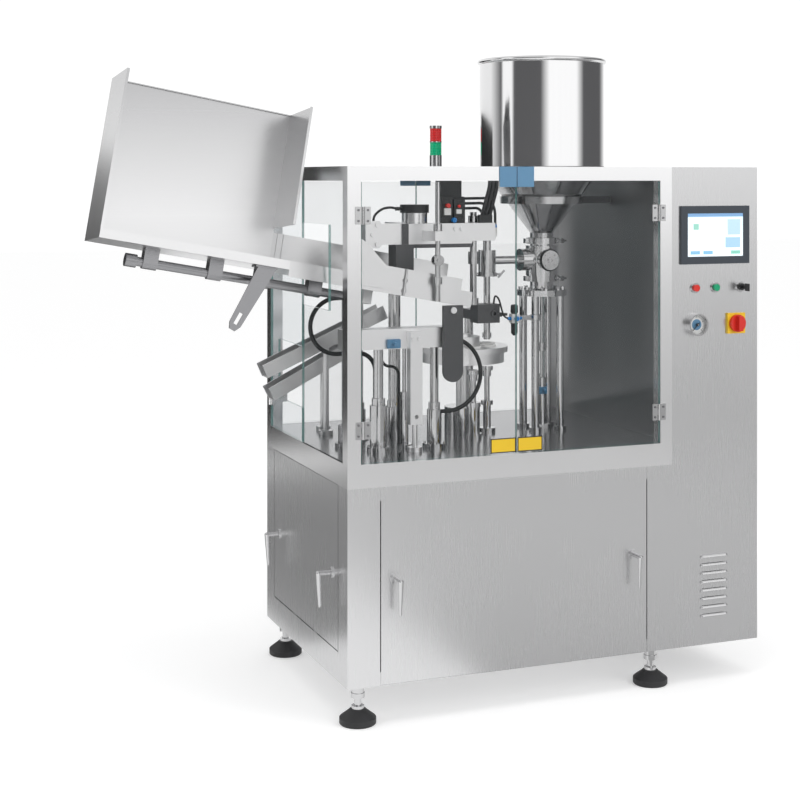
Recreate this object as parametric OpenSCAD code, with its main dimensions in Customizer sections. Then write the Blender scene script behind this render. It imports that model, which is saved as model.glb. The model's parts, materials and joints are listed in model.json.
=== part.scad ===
// Tube filling machine with a sloped tube magazine, an eight cup turntable and a product hopper.
// Millimetres. +X runs right along the front, +Y to the rear, +Z up.
// The origin is the middle of the front left foot, on the floor.

/* [Cabinet] */
// Width of the main cabinet
main_w = 1093; // [1060:1:1160]
// Width of the control tower
tower_w = 320; // [310:1:380]
// Depth of the cabinet
depth = 820; // [800:1:880]
// Height of the cabinet above the floor
foot_h = 118; // [110:1:135]
// Height of the base cabinet
base_h = 585; // [560:1:640]
// Height of the deck rim
rim_h = 70; // [60:1:90]
// Height of the frame above the deck
chamber_h = 875; // [860:1:920]
// Square section of the upper posts
post = 42; // [38:1:46]
// Height of the top beams
beam_h = 43; // [38:1:48]
// Square section of the base tubes
tube = 40; // [35:1:42]
// Sheet thickness of skins and panels
skin = 2; // [1.5:0.5:3]
// Thickness of the deck plate
deck_t = 12; // [8:1:16]
// Width of the fixed strip at each front corner
strip_w = 102; // [90:1:120]
// Width of the fixed strip at each end of the left side
side_strip = 82; // [70:1:100]
// Height of the fixed strip below the left panel
kick_h = 88; // [60:1:120]
// Gap round a removable panel
panel_gap = 3; // [2:0.5:5]

/* [Feet] */
// Distance of each foot from the cabinet sides
foot_inset = 50; // [46:1:60]
// Diameter of a rubber pad
pad_d = 110; // [90:1:115]
// Diameter of a foot stem
stem_d = 22; // [16:1:24]

/* [Doors] */
// Thickness of the door glass
glass_t = 8; // [6:1:10]
// Gap round the glass
glass_gap = 3; // [3:0.5:5]
// Width of one hinge leaf
leaf_w = 24; // [20:1:28]
// Height of a hinge
leaf_h = 52; // [44:1:60]
// Diameter of a hinge barrel
barrel_d = 9; // [8:0.5:11]
// Diameter of a hinge pin
hinge_pin_d = 5; // [4:0.5:6]
// Height of the lower hinge above the deck
low_hinge_h = 100; // [80:1:160]
// Distance of the upper hinge below the frame top
top_hinge_drop = 145; // [120:1:200]
// Width of a pull plate
pull_w = 56; // [45:1:65]
// Height of a pull plate
pull_h = 62; // [55:1:75]

/* [Latches] */
// Height of the panel latches above the cabinet underside
latch_h = 312; // [250:1:380]
// Distance of a latch from its panel edge
latch_in = 46; // [40:1:60]
// Length of a latch lever
lever_l = 98; // [80:1:110]
// Distance of a latch lever from its panel
lever_out = 43; // [36:1:44]

/* [Control tower] */
// Sheet thickness of the tower
tower_t = 3; // [2:0.5:4]
// Width of the touch panel
hmi_w = 255; // [240:1:265]
// Height of the touch panel
hmi_h = 186; // [170:1:200]
// Distance of the touch panel top below the frame top
hmi_drop = 124; // [100:1:150]
// Distance of the button row below the frame top
button_drop = 386; // [370:1:410]
// Distance of the gauge and main switch below the frame top
gauge_drop = 503; // [490:1:530]
// Diameter of a push button
button_d = 22; // [20:1:24]
// Travel of a push button
button_travel = 4; // [3:0.5:5]
// Diameter of the pressure gauge
gauge_d = 70; // [60:1:76]
// Side of the main switch plate
switch_w = 66; // [60:1:72]
// Number of louvres
louvre_n = 8; // [6:1:9]
// Width of a louvre
louvre_w = 101; // [80:1:120]
// Distance from one louvre to the next
louvre_pitch = 27; // [25:1:30]

/* [Filling] */
// Distance of the filling line from the front
line_y = 411; // [405:1:425]
// Distance of the hopper axis from the left side
pump_x = 838; // [825:1:850]
// Outer diameter of the hopper
hopper_d = 418; // [380:1:425]
// Wall of the hopper
hopper_t = 3; // [2.5:0.5:5]
// Height of the hopper rim above the deck
hopper_top = 1237; // [1150:1:1300]
// Height of the foot of the hopper cylinder above the deck
cone_top = 879; // [860:1:900]
// Height of the foot of the hopper cone above the deck
cone_low = 657; // [650:1:665]
// Outer diameter of the hopper neck and pipe necks
neck_d = 79; // [72:1:82]
// Outer diameter of a clamped pipe ferrule
ferrule_d = 90; // [87:1:93]
// Thickness of a clamped pipe ferrule
ferrule_t = 6; // [5:0.5:7]
// Height of the upper pipe joint above the deck
joint_high = 630; // [626:1:634]
// Height of the lower pipe joint above the deck
joint_low = 504; // [500:1:506]
// Diameter of the valve body
valve_d = 108; // [100:1:116]
// Diameter of the valve rotor
rotor_d = 56; // [50:1:60]
// Height of the top of the pump flange above the deck
flange_top = 467; // [460:1:472]
// Thickness of the pump flange
flange_t = 20; // [16:1:24]
// Diameter of the pump flange
flange_d = 169; // [160:1:180]
// Diameter of a tie rod
tie_d = 26; // [22:1:30]
// Distance of the tie rods from the pump axis, each way
tie_off = 46; // [42:1:48]
// Diameter of the pump piston
piston_d = 50; // [44:1:56]
// Stroke of the pump piston
piston_stroke = 18; // [10:1:20]
// Diameter of the product pipe
pipe_d = 28; // [24:1:34]
// Diameter of the nozzle body
nozzle_body_d = 58; // [50:1:64]
// Diameter of the nozzle tube
nozzle_d = 22; // [20:1:26]
// Diameter of the nozzle shut-off stem
stem_rod_d = 10; // [8:1:12]
// Lift of the nozzle shut-off stem
stem_lift = 10; // [6:1:12]
// Height of the nozzle tip above the deck
nozzle_tip = 306; // [302:1:320]

/* [Turntable] */
// Distance of the turntable axis from the left side
table_x = 546; // [542:1:550]
// Radius of the cup circle
pitch_r = 90; // [88:1:94]
// Radius of the turntable disc
disc_r = 150; // [145:1:158]
// Thickness of the turntable disc
disc_t = 18; // [14:1:22]
// Height of the disc top above the deck
disc_top = 290; // [286:1:294]
// Number of cups
cup_n = 8; // [6:1:8]
// Diameter of a cup
cup_d = 44; // [38:1:46]
// Depth of a cup below the disc top
cup_h = 46; // [40:1:48]
// Diameter of the turntable shaft
shaft_d = 40; // [34:1:46]
// Diameter of a lifter rod
lifter_d = 18; // [16:1:20]
// Height of a lifter head above the deck
lifter_top = 218; // [210:1:218]
// Diameter of the cam shaft
cam_shaft_d = 30; // [26:1:34]
// Radius of a cam
cam_r = 60; // [50:1:62]
// Throw of a cam
cam_throw = 12; // [8:1:12]

/* [Tube feed] */
// Slope of the magazine floor in degrees
feed_slope = 10.5; // [9:0.5:12]
// Lean of the magazine back in degrees
feed_lean = 5; // [3:0.5:7]
// Width of the magazine along its floor
tray_w = 580; // [480:1:600]
// Height of the magazine
tray_h = 500; // [400:1:520]
// Depth of the magazine and feed channel
tray_d = 215; // [205:1:220]
// Sheet thickness of the magazine
tray_t = 3; // [2:0.5:4]
// Height of the outlet under the right wall
outlet_h = 135; // [130:1:160]
// Height of the back wall of the feed channel
channel_h = 122; // [100:1:124]
// Length of the feed channel
channel_l = 610; // [560:1:615]
// Distance of the magazine outlet from the left side
outlet_out = 120; // [100:1:140]
// Height of the magazine outlet above the deck
outlet_up = 549; // [545:1:556]
// Length of the tube flap below its pivot
flap_l = 223; // [180:1:240]
// Width of the tube flap
flap_w = 67; // [55:1:70]

/* [Deck structure] */
// Distance of the box beam axis from the front
beam_y = 200; // [195:1:205]
// Height of the underside of the box beam above the deck
box_low = 315; // [305:1:325]
// Section of the box beam
box_s = 62; // [56:1:66]
// Height of the underside of the upper beam above the deck
upper_low = 631; // [631:1:640]
// Section of the upper beam
upper_s = 65; // [58:1:66]
// Slope of the upper chute in degrees
chute_slope = 23.5; // [20:0.5:26]
// Width of a chute
chute_w = 70; // [60:1:74]
// Side height of a chute
chute_h = 45; // [35:1:48]
// Diameter of a hose
hose_d = 9; // [8:0.5:10]

/* [Hidden] */
$fn = 48;

// Running clearance on the radius of a shaft in its bore
run_gap = 0.05;
// Clearance between curved pieces that sit in one another
seat_gap = 0.3;
z_rim = foot_h + base_h;
z_deck = z_rim + rim_h;
z_top = z_deck + chamber_h;
fill_x = table_x + pitch_r;
front_y = line_y - pitch_r;
tower_x = main_w;
mid_x = main_w / 2;
mid_y = 433;
hinge_in = post + 6;
hinge_out = barrel_d / 2;
low_hinge_z = z_deck + low_hinge_h;
top_hinge_z = z_top - top_hinge_drop;
glass_low = z_deck + glass_gap;
glass_high = z_top - beam_h - glass_gap;
latch_z = foot_h + latch_h;
panel_left = strip_w + panel_gap;
panel_right = main_w - strip_w + panel_gap * 3;

// Height above the deck as a height above the floor
function up(h) = z_deck + h;

module placed() {
    translate([-foot_inset, -foot_inset, 0]) children();
}

module block(a, b) {
    translate(a) cube(b - a);
}

module rod_z(x, y, z0, z1, d) {
    translate([x, y, z0]) cylinder(d = d, h = z1 - z0);
}

module rod_y(x, y0, y1, z, d) {
    translate([x, y0, z]) rotate([-90, 0, 0]) cylinder(d = d, h = y1 - y0);
}

module rod_x(x0, x1, y, z, d) {
    translate([x0, y, z]) rotate([0, 90, 0]) cylinder(d = d, h = x1 - x0);
}

module ring_z(x, y, z0, z1, d_out, d_in) {
    difference() {
        rod_z(x, y, z0, z1, d_out);
        rod_z(x, y, z0 - 1, z1 + 1, d_in);
    }
}

// Sloped and leaning frame of the magazine: x along the floor, z up the back sheet
module feed_frame() {
    translate([-outlet_out, line_y, up(outlet_up)]) rotate([0, feed_slope, 0])
        rotate([-feed_lean, 0, 0]) children();
}

module base_frame() {
    color("silver") placed() {
        for (x = [skin, main_w - skin - tube], y = [skin, depth - skin - tube])
            block([x, y, foot_h], [x + tube, y + tube, z_rim]);
        for (z = [foot_h, z_rim - tube]) {
            for (y = [skin, depth - skin - tube])
                block([skin, y, z], [main_w - skin, y + tube, z + tube]);
            for (x = [skin, main_w - skin - tube])
                block([x, skin, z], [x + tube, depth - skin, z + tube]);
        }
        block([0, 0, foot_h], [strip_w, skin, z_rim]);
        block([panel_right + panel_gap, 0, foot_h], [main_w, skin, z_rim]);
        block([0, depth - skin, foot_h], [main_w, depth, z_rim]);
        for (y = [0, depth - side_strip])
            block([0, y, foot_h], [skin, y + side_strip, z_rim]);
        block([0, 0, foot_h], [skin, depth, foot_h + kick_h]);
        block([main_w - skin, 0, foot_h], [main_w, depth, z_rim]);
        block([0, 0, foot_h], [main_w, depth, foot_h + skin]);
    }
}

module deck_plate() {
    wall = 3;
    color("silver") placed() difference() {
        union() {
            block([0, 0, z_deck - deck_t], [main_w, depth, z_deck]);
            difference() {
                block([0, 0, z_rim], [main_w, depth, z_deck]);
                block([wall, wall, z_rim - 1], [main_w - wall, depth - wall, z_deck - deck_t]);
            }
            for (x = [skin, main_w - skin - tube], y = [skin, depth - skin - tube])
                block([x, y, z_rim], [x + tube, y + tube, z_deck]);
        }
        rod_z(table_x, line_y, z_rim, z_deck + 1, shaft_d + 2);
        rod_z(table_x, front_y, z_rim, z_deck + 1, lifter_d + 2);
        rod_z(fill_x, line_y, z_rim, z_deck + 1, lifter_d + 2);
    }
}

// Rose of a turn latch, on a panel face that looks along -Y
module latch_rose(x, z) {
    rod_y(x, -rose_t, 0, z, rose_d);
}

module latch_bore(x, z) {
    rod_y(x, -rose_t - 1, skin + 1, z, latch_shaft_d + run_gap * 2);
}

rose_d = 32;
rose_t = 5;
latch_shaft_d = 10;
latch_shank_d = 14;
lever_root_d = 16;
lever_tip_d = 9;
lever_tip_in = 5;
tongue_over = 3;
tongue_gap = 4;
tongue_t = 3;
tongue_w = 16;
side_latch_in = side_strip + panel_gap + latch_in + 10;

// Lever, shaft and tongue of a turn latch; the tongue reaches along X, to the left where reach is negative
module latch(x, z, reach) {
    tongue_y = skin + tongue_gap;
    rod_y(x, -rose_t - 1, tongue_y + tongue_t, z, latch_shaft_d);
    rod_y(x, -lever_out, -rose_t - seat_gap, z, latch_shank_d);
    hull() {
        translate([x, -lever_out, z]) sphere(d = lever_root_d, $fn = 32);
        translate([x, -lever_out + lever_tip_in, z - lever_l]) sphere(d = lever_tip_d, $fn = 32);
    }
    block([x + min(reach, 0), tongue_y, z - tongue_w / 2],
        [x + max(reach, 0), tongue_y + tongue_t, z + tongue_w / 2]);
}

// Panel sheet in the plane Y = 0 with stiffeners behind it
module panel_sheet(x0, x1, z0, z1) {
    rib_w = 40;
    rib_t = 12;
    rib_end = tube + 20;
    block([x0, 0, z0], [x1, skin, z1]);
    for (share = [1, 2])
        translate([x0 + (x1 - x0) * share / 3, 0, 0])
            block([-rib_w / 2, skin, foot_h + rib_end], [rib_w / 2, skin + rib_t, z_rim - rib_end]);
}

module front_panel() {
    xs = [panel_left + latch_in, panel_right - latch_in];
    color("silver") placed() difference() {
        union() {
            panel_sheet(panel_left, panel_right, foot_h + panel_gap, z_rim - panel_gap);
            for (x = xs) latch_rose(x, latch_z);
        }
        for (x = xs) latch_bore(x, latch_z);
    }
}

// Turns a piece made on the front face onto the left face
module on_left() {
    translate([0, depth, 0]) rotate([0, 0, -90]) children();
}

module left_panel() {
    xs = [side_latch_in, depth - side_latch_in];
    edge = side_strip + panel_gap;
    color("silver") placed() on_left() difference() {
        union() {
            panel_sheet(edge, depth - edge, foot_h + kick_h + panel_gap, z_rim - panel_gap);
            for (x = xs) latch_rose(x, latch_z);
        }
        for (x = xs) latch_bore(x, latch_z);
    }
}

module at_feet() {
    for (x = [foot_inset, main_w - foot_inset], y = [foot_inset, depth - foot_inset])
        translate([x, y, 0]) children();
}

pad_h = 44;
pad_rim_h = 22;

module foot_stems() {
    washer_h = 10;
    nut_h = 14;
    socket_h = 26;
    color("silver") placed() at_feet() {
        translate([0, 0, pad_h]) cylinder(d = stem_d, h = foot_h - pad_h);
        translate([0, 0, pad_h]) cylinder(d = stem_d + 16, h = washer_h);
        translate([0, 0, foot_h - socket_h - nut_h]) cylinder(d = stem_d + 20, h = nut_h);
        translate([0, 0, foot_h - socket_h]) cylinder(d = stem_d + 15, h = socket_h);
    }
}

module foot_pads() {
    r = pad_d / 2;
    edge = 3;
    crown_r = 24;
    color("dimgray") placed() at_feet()
        rotate_extrude() polygon([[0, 0], [r - edge, 0], [r, edge], [r, pad_rim_h - edge],
            [r - edge, pad_rim_h],
            [crown_r + edge, pad_h - edge], [crown_r, pad_h], [0, pad_h]]);
}

// Knuckles of a hinge about a vertical axis at the origin; ends stand on the frame, the middle on the door
module hinge_ends() {
    third = leaf_h / 3;
    for (z = [-leaf_h / 2, third / 2 + seat_gap])
        translate([0, 0, z]) cylinder(d = barrel_d, h = third - seat_gap);
    translate([0, 0, -leaf_h / 2]) cylinder(d = hinge_pin_d, h = leaf_h);
}

module hinge_middle() {
    third = leaf_h / 3;
    difference() {
        translate([0, 0, -third / 2]) cylinder(d = barrel_d, h = third);
        translate([0, 0, -third]) cylinder(d = hinge_pin_d + run_gap * 2, h = third * 2);
    }
}

leaf_t = 3;

// Frame half of a hinge: leaf on the post to the left of the axis, wall face at y = barrel_d / 2
module frame_leaf() {
    third = leaf_h / 3;
    hinge_ends();
    for (z = [-leaf_h / 2, third / 2 + seat_gap])
        translate([-leaf_w, barrel_d / 2 - leaf_t, z]) cube([leaf_w, leaf_t, third - seat_gap]);
    translate([-leaf_w, barrel_d / 2 - leaf_t, -leaf_h / 2])
        cube([leaf_w - barrel_d / 2 - 1, leaf_t, leaf_h]);
}

// Door half of a hinge, to the right of the axis
module door_leaf() {
    third = leaf_h / 3;
    hinge_middle();
    difference() {
        translate([0, barrel_d / 2 - leaf_t, -third / 2]) cube([leaf_w, leaf_t, third]);
        translate([0, 0, -third]) cylinder(d = hinge_pin_d + run_gap * 2, h = third * 2);
    }
    translate([barrel_d / 2 + 1, barrel_d / 2 - leaf_t, -leaf_h / 2])
        cube([leaf_w - barrel_d / 2 - 1, leaf_t, leaf_h]);
}

// Places for the hinges of a front door whose hinge is on the left
module at_left_hinges() {
    for (z = [low_hinge_z, top_hinge_z])
        translate([hinge_in, -hinge_out, z]) children();
}

module mirror_x() {
    translate([main_w, 0, 0]) mirror([1, 0, 0]) children();
}

module mirror_y() {
    translate([0, depth, 0]) mirror([0, 1, 0]) children();
}

module upper_frame() {
    color("silver") placed() {
        for (x = [0, main_w - post], y = [0, depth - post])
            block([x, y, z_deck], [x + post, y + post, z_top]);
        for (y = [0, depth - post])
            block([0, y, z_top - beam_h], [main_w, y + post, z_top]);
        for (x = [0, main_w - post])
            block([x, 0, z_top - beam_h], [x + post, depth, z_top]);
        at_left_hinges() frame_leaf();
        mirror_x() at_left_hinges() frame_leaf();
        mirror_y() at_left_hinges() frame_leaf();
        mirror_x() mirror_y() at_left_hinges() frame_leaf();
        on_left() at_left_hinges() frame_leaf();
    }
}

// Glass of a front door hinged on the left
module door_glass() {
    block([post + glass_gap, 0, glass_low], [mid_x - glass_gap / 2, glass_t, glass_high]);
}

// Hinge leaves and pull plate of a front door hinged on the left
module door_fittings() {
    plate_t = 4;
    at_left_hinges() door_leaf();
    block([mid_x - glass_gap / 2 - pull_w, -plate_t, z_top - pull_h], [mid_x - glass_gap / 2, 0, z_top]);
}

module front_left_glass() {
    color("lightcyan") placed() door_glass();
}

module front_left_fittings() {
    color("steelblue") placed() door_fittings();
}

module front_right_glass() {
    color("lightcyan") placed() mirror_x() door_glass();
}

module front_right_fittings() {
    color("steelblue") placed() mirror_x() door_fittings();
}

module rear_left_door() {
    color("lightcyan") placed() mirror_y() {
        door_glass();
        door_fittings();
    }
}

module rear_right_door() {
    color("lightcyan") placed() mirror_x() mirror_y() {
        door_glass();
        door_fittings();
    }
}

notch_low = 110;
notch_high = 305;
notch_y = 690;

module left_door() {
    color("lightcyan") placed() {
        difference() {
            block([0, mid_y + glass_gap / 2, glass_low], [glass_t, depth - post - glass_gap, glass_high]);
            block([-1, mid_y, up(notch_low)], [glass_t + 1, notch_y, up(notch_high)]);
        }
        on_left() at_left_hinges() door_leaf();
    }
}

module left_side_glass() {
    front = line_y - tray_d - 24;
    color("lightcyan") placed() difference() {
        block([0, post, z_deck], [glass_t, mid_y - glass_gap / 2, z_top - beam_h]);
        block([-1, front, up(outlet_up - 110)], [glass_t + 1, mid_y, up(outlet_up + 150)]);
    }
}

module control_tower() {
    far = tower_x + tower_w;
    color("silver") placed() difference() {
        block([tower_x, tower_t, foot_h], [far, depth, z_top]);
        block([tower_x + tower_t, 0, foot_h + tower_t], [far - tower_t, depth - tower_t, z_top - tower_t]);
    }
}

hmi_left = 30;
stop_in = 85;
start_in = 160;
key_in = 255;
gauge_in = 87;
switch_in = 236;
louvre_in = 104;
louvre_low = 91;
collar_d = 32;
collar_tube_d = 28;
hmi_box_in = 20;
main_shaft_d = 10;

function hmi_top() = z_top - hmi_drop;

louvre_r = 9;
louvre_sheet = 1.5;

// Rod with round ends that a louvre hood is pressed round
module louvre_pill(r) {
    for (x = [louvre_r, louvre_w - louvre_r])
        translate([x, 0, 0]) sphere(r = r);
    rod_x(louvre_r, louvre_w - louvre_r, 0, 0, r * 2);
}

// One pressed louvre hood with round ends, open below
module louvre() {
    open_h = 3;
    difference() {
        louvre_pill(louvre_r);
        louvre_pill(louvre_r - louvre_sheet);
        block([-1, -louvre_r - 1, -louvre_r - 1], [louvre_w + 1, louvre_r + 1, -open_h]);
        block([-1, 0, -louvre_r - 1], [louvre_w + 1, louvre_r + 1, louvre_r + 1]);
    }
}

module control_fascia() {
    color("silver") placed() {
        difference() {
            block([tower_x, 0, foot_h], [tower_x + tower_w, tower_t, z_top]);
            block([tower_x + hmi_left + hmi_box_in - 1, -1, hmi_top() - hmi_h + hmi_box_in - 1],
                [tower_x + hmi_left + hmi_w - hmi_box_in + 1, tower_t + 1, hmi_top() - hmi_box_in + 1]);
            for (x = [stop_in, start_in, key_in])
                rod_y(tower_x + x, -1, tower_t + 1, z_top - button_drop, collar_tube_d + seat_gap * 2);
            rod_y(tower_x + switch_in, -1, tower_t + 1, z_top - gauge_drop, main_shaft_d + 4);
            for (i = [0 : louvre_n - 1])
                translate([tower_x + louvre_in, 0, foot_h + louvre_low + i * louvre_pitch])
                    block([louvre_r, -1, -louvre_r / 2], [louvre_w - louvre_r, tower_t + 1, louvre_r / 2]);
        }
        for (i = [0 : louvre_n - 1])
            translate([tower_x + louvre_in, 0, foot_h + louvre_low + i * louvre_pitch]) louvre();
    }
}

hmi_t = 8;
screen_in = 24;
screen_t = 3;

module hmi_bezel() {
    x0 = tower_x + hmi_left;
    z1 = hmi_top();
    color("black") placed() difference() {
        union() {
            block([x0, -hmi_t, z1 - hmi_h], [x0 + hmi_w, 0, z1]);
            block([x0 + hmi_box_in, 0, z1 - hmi_h + hmi_box_in],
                [x0 + hmi_w - hmi_box_in, 40, z1 - hmi_box_in]);
        }
        block([x0 + screen_in, -hmi_t - 1, z1 - hmi_h + screen_in],
            [x0 + hmi_w - screen_in, -hmi_t + screen_t + 1, z1 - screen_in]);
    }
}

module hmi_screen() {
    x0 = tower_x + hmi_left;
    z1 = hmi_top();
    color("lightsteelblue") placed()
        block([x0 + screen_in, -hmi_t + 1, z1 - hmi_h + screen_in],
            [x0 + hmi_w - screen_in, -hmi_t + screen_t + 1, z1 - screen_in]);
}

collar_t = 6;
collar_l = 26;
gauge_t = 22;
gauge_face_t = 6;
needle_pin_d = 4;

module panel_bezels() {
    gauge_z = z_top - gauge_drop;
    gauge_x = tower_x + gauge_in;
    color("silver") placed() {
        for (x = [stop_in, start_in, key_in])
            difference() {
                union() {
                    rod_y(tower_x + x, -collar_t, 0, z_top - button_drop, collar_d);
                    rod_y(tower_x + x, 0, collar_l, z_top - button_drop, collar_tube_d);
                }
                rod_y(tower_x + x, -collar_t - 1, collar_l + 1, z_top - button_drop, button_d + run_gap * 2);
            }
        difference() {
            rod_y(gauge_x, -gauge_t, 0, gauge_z, gauge_d);
            rod_y(gauge_x, -gauge_t - 1, -gauge_face_t, gauge_z, gauge_d - 8);
        }
        rod_y(gauge_x, -gauge_t + 5, -gauge_face_t, gauge_z, needle_pin_d);
    }
}

// Push button: cap proud of its collar, with a shank behind
module push_button(x) {
    proud = 7;
    rod_y(tower_x + x, -collar_t - proud, collar_l - button_travel - 4, z_top - button_drop, button_d);
}

module stop_button() {
    color("red") placed() push_button(stop_in);
}

module start_button() {
    color("green") placed() push_button(start_in);
}

module key_switch() {
    z = z_top - button_drop;
    x = tower_x + key_in;
    bow = 24;
    color("black") placed() {
        rod_y(x, -collar_t - 6, collar_l - 4, z, button_d);
        block([x - 1.5, -collar_t - 22, z - 5], [x + 1.5, -collar_t - 5, z + 5]);
        block([x - 1.5, -collar_t - 22 - bow, z - bow / 2], [x + 1.5, -collar_t - 22, z + bow / 2]);
    }
}

module gauge_needle() {
    z = z_top - gauge_drop;
    x = tower_x + gauge_in;
    reach = gauge_d / 2 - 9;
    color("black") placed() difference() {
        union() {
            rod_y(x, -gauge_t + 6, -gauge_t + 10, z, 10);
            translate([x, -gauge_t + 7, z]) rotate([0, -135, 0]) block([-1, 0, -10], [1, 2, reach]);
        }
        rod_y(x, -gauge_t, 0, z, needle_pin_d + run_gap * 2);
    }
}

plate_t = 8;

module switch_plate() {
    z = z_top - gauge_drop;
    x = tower_x + switch_in;
    color("gold") placed() difference() {
        block([x - switch_w / 2, -plate_t, z - switch_w / 2], [x + switch_w / 2, 0, z + switch_w / 2]);
        rod_y(x, -plate_t - 1, 1, z, main_shaft_d + run_gap * 2);
    }
}

module main_knob() {
    z = z_top - gauge_drop;
    x = tower_x + switch_in;
    knob_d = switch_w - 10;
    skirt = 12;
    grip_w = 16;
    color("red") placed() {
        rod_y(x, -plate_t - skirt, 20, z, main_shaft_d);
        rod_y(x, -plate_t - skirt, -plate_t - seat_gap, z, knob_d);
        block([x - grip_w / 2, -plate_t - skirt - 16, z - knob_d / 2 + 4],
            [x + grip_w / 2, -plate_t - skirt, z + knob_d / 2 - 4]);
    }
}

mast_x = 615;
mast_d = 44;
lens_d = 41;
lens_h = 46;
mast_base_h = 46;

module at_mast(z) {
    translate([mast_x, depth - post / 2, z_top + z]) children();
}

module signal_mast() {
    color("silver") placed() {
        at_mast(0) cylinder(d = mast_d, h = mast_base_h);
        at_mast(mast_base_h + lens_h) cylinder(d = mast_d, h = 3);
        at_mast(mast_base_h + lens_h * 2 + 3) cylinder(d = mast_d, h = 10);
    }
}

module green_lens() {
    color("green") placed() at_mast(mast_base_h) cylinder(d = lens_d, h = lens_h);
}

module red_lens() {
    color("red") placed() at_mast(mast_base_h + lens_h + 3) cylinder(d = lens_d, h = lens_h);
}

// Shell of the hopper, turned about its axis: ferrule, neck, cone, cylinder and rolled rim
module hopper() {
    r = hopper_d / 2;
    n = neck_d / 2;
    t = hopper_t;
    bead = 8;
    color("silver") placed() translate([pump_x, line_y, z_deck]) rotate_extrude($fn = 96) {
        polygon([[n - t, joint_high], [ferrule_d / 2, joint_high], [ferrule_d / 2, joint_high + ferrule_t],
            [n, joint_high + ferrule_t], [n, cone_low], [r, cone_top], [r, hopper_top - bead],
            [r - t, hopper_top - bead], [r - t, cone_top + 1], [n - t, cone_low + 1]]);
        translate([r, hopper_top - bead]) circle(d = bead * 2, $fn = 32);
    }
}

clamp_t = 20;
clamp_w = 7;
ear_l = 15;
ear_w = 16;
ear_sink = 3;
clamp_screw_d = 7;
clamp_screw_l = 34;
clamp_nut_d = 18;
clamp_nut_l = 12;

// Band clamp round two ferrules, with its hinge ear and wing screw
module band_clamp(h) {
    out_r = ferrule_d / 2 + clamp_w;
    screw_x = pump_x + out_r + ear_l / 2 - ear_sink;
    nut_y = line_y - clamp_screw_l - ear_w / 2;
    z = up(h);
    ring_z(pump_x, line_y, z - clamp_t / 2, z + clamp_t / 2, out_r * 2, ferrule_d + seat_gap * 2);
    for (side = [-1, 1])
        translate([pump_x + side * (out_r + ear_l / 2 - ear_sink), line_y, z])
            block([-ear_l / 2, -ear_w / 2, -ear_w / 2], [ear_l / 2, ear_w / 2, ear_w / 2]);
    rod_y(screw_x, nut_y, line_y, z, clamp_screw_d);
    rod_y(screw_x, nut_y, nut_y + clamp_nut_l, z, clamp_nut_d);
    block([screw_x - clamp_nut_d, nut_y + 3, z - 3],
        [screw_x + clamp_nut_d, nut_y + clamp_nut_l - 3, z + 3]);
}

module pipe_clamps() {
    color("silver") placed() {
        band_clamp(joint_high);
        band_clamp(joint_low);
    }
}

pipe_h = (joint_low + joint_high) / 2;
port_t = 14;
port_d = 74;
valve_face = 6;
rotor_wall = 9;
cover_t = 8;
hub_t = 4;
hub_d = 20;

module valve_body() {
    low = joint_low + ferrule_t + 4;
    high = joint_high - ferrule_t - 10;
    port_x = pump_x - valve_d / 2 - port_t;
    color("silver") placed() difference() {
        union() {
            rod_z(pump_x, line_y, up(joint_low), up(joint_low + ferrule_t), ferrule_d);
            rod_z(pump_x, line_y, up(joint_low), up(joint_high), neck_d);
            rod_z(pump_x, line_y, up(low), up(high), valve_d);
            rod_z(pump_x, line_y, up(joint_high - ferrule_t), up(joint_high), ferrule_d);
            rod_x(port_x, pump_x, line_y, up(pipe_h), port_d);
            rod_y(pump_x, line_y - valve_d / 2 - valve_face, line_y, up(pipe_h), rotor_d + rotor_wall * 2);
        }
        rod_y(pump_x, line_y - valve_d, line_y + rotor_d / 2, up(pipe_h), rotor_d + run_gap * 2);
    }
}

module valve_rotor() {
    front = line_y - valve_d / 2 - valve_face;
    port_w = 10;
    color("silver") placed() difference() {
        union() {
            rod_y(pump_x, front - 1, line_y + rotor_d / 2 - seat_gap, up(pipe_h), rotor_d);
            rod_y(pump_x, front - cover_t, front - seat_gap, up(pipe_h), rotor_d + rotor_wall);
            rod_y(pump_x, front - cover_t - hub_t, front - cover_t, up(pipe_h), hub_d);
        }
        rod_y(pump_x, front - cover_t - hub_t - 1, front - cover_t - hub_t + 3, up(pipe_h), port_w);
    }
}

cyl_d = 32;
cyl_top = 170;
piston_rod_d = 12;
cyl_base = 16;
cyl_foot = 44;
tie_foot_t = 12;
tie_foot_w = 8;
flange_bolt_n = 8;
flange_bolt_d = 14;
flange_bolt_h = 9;

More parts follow.
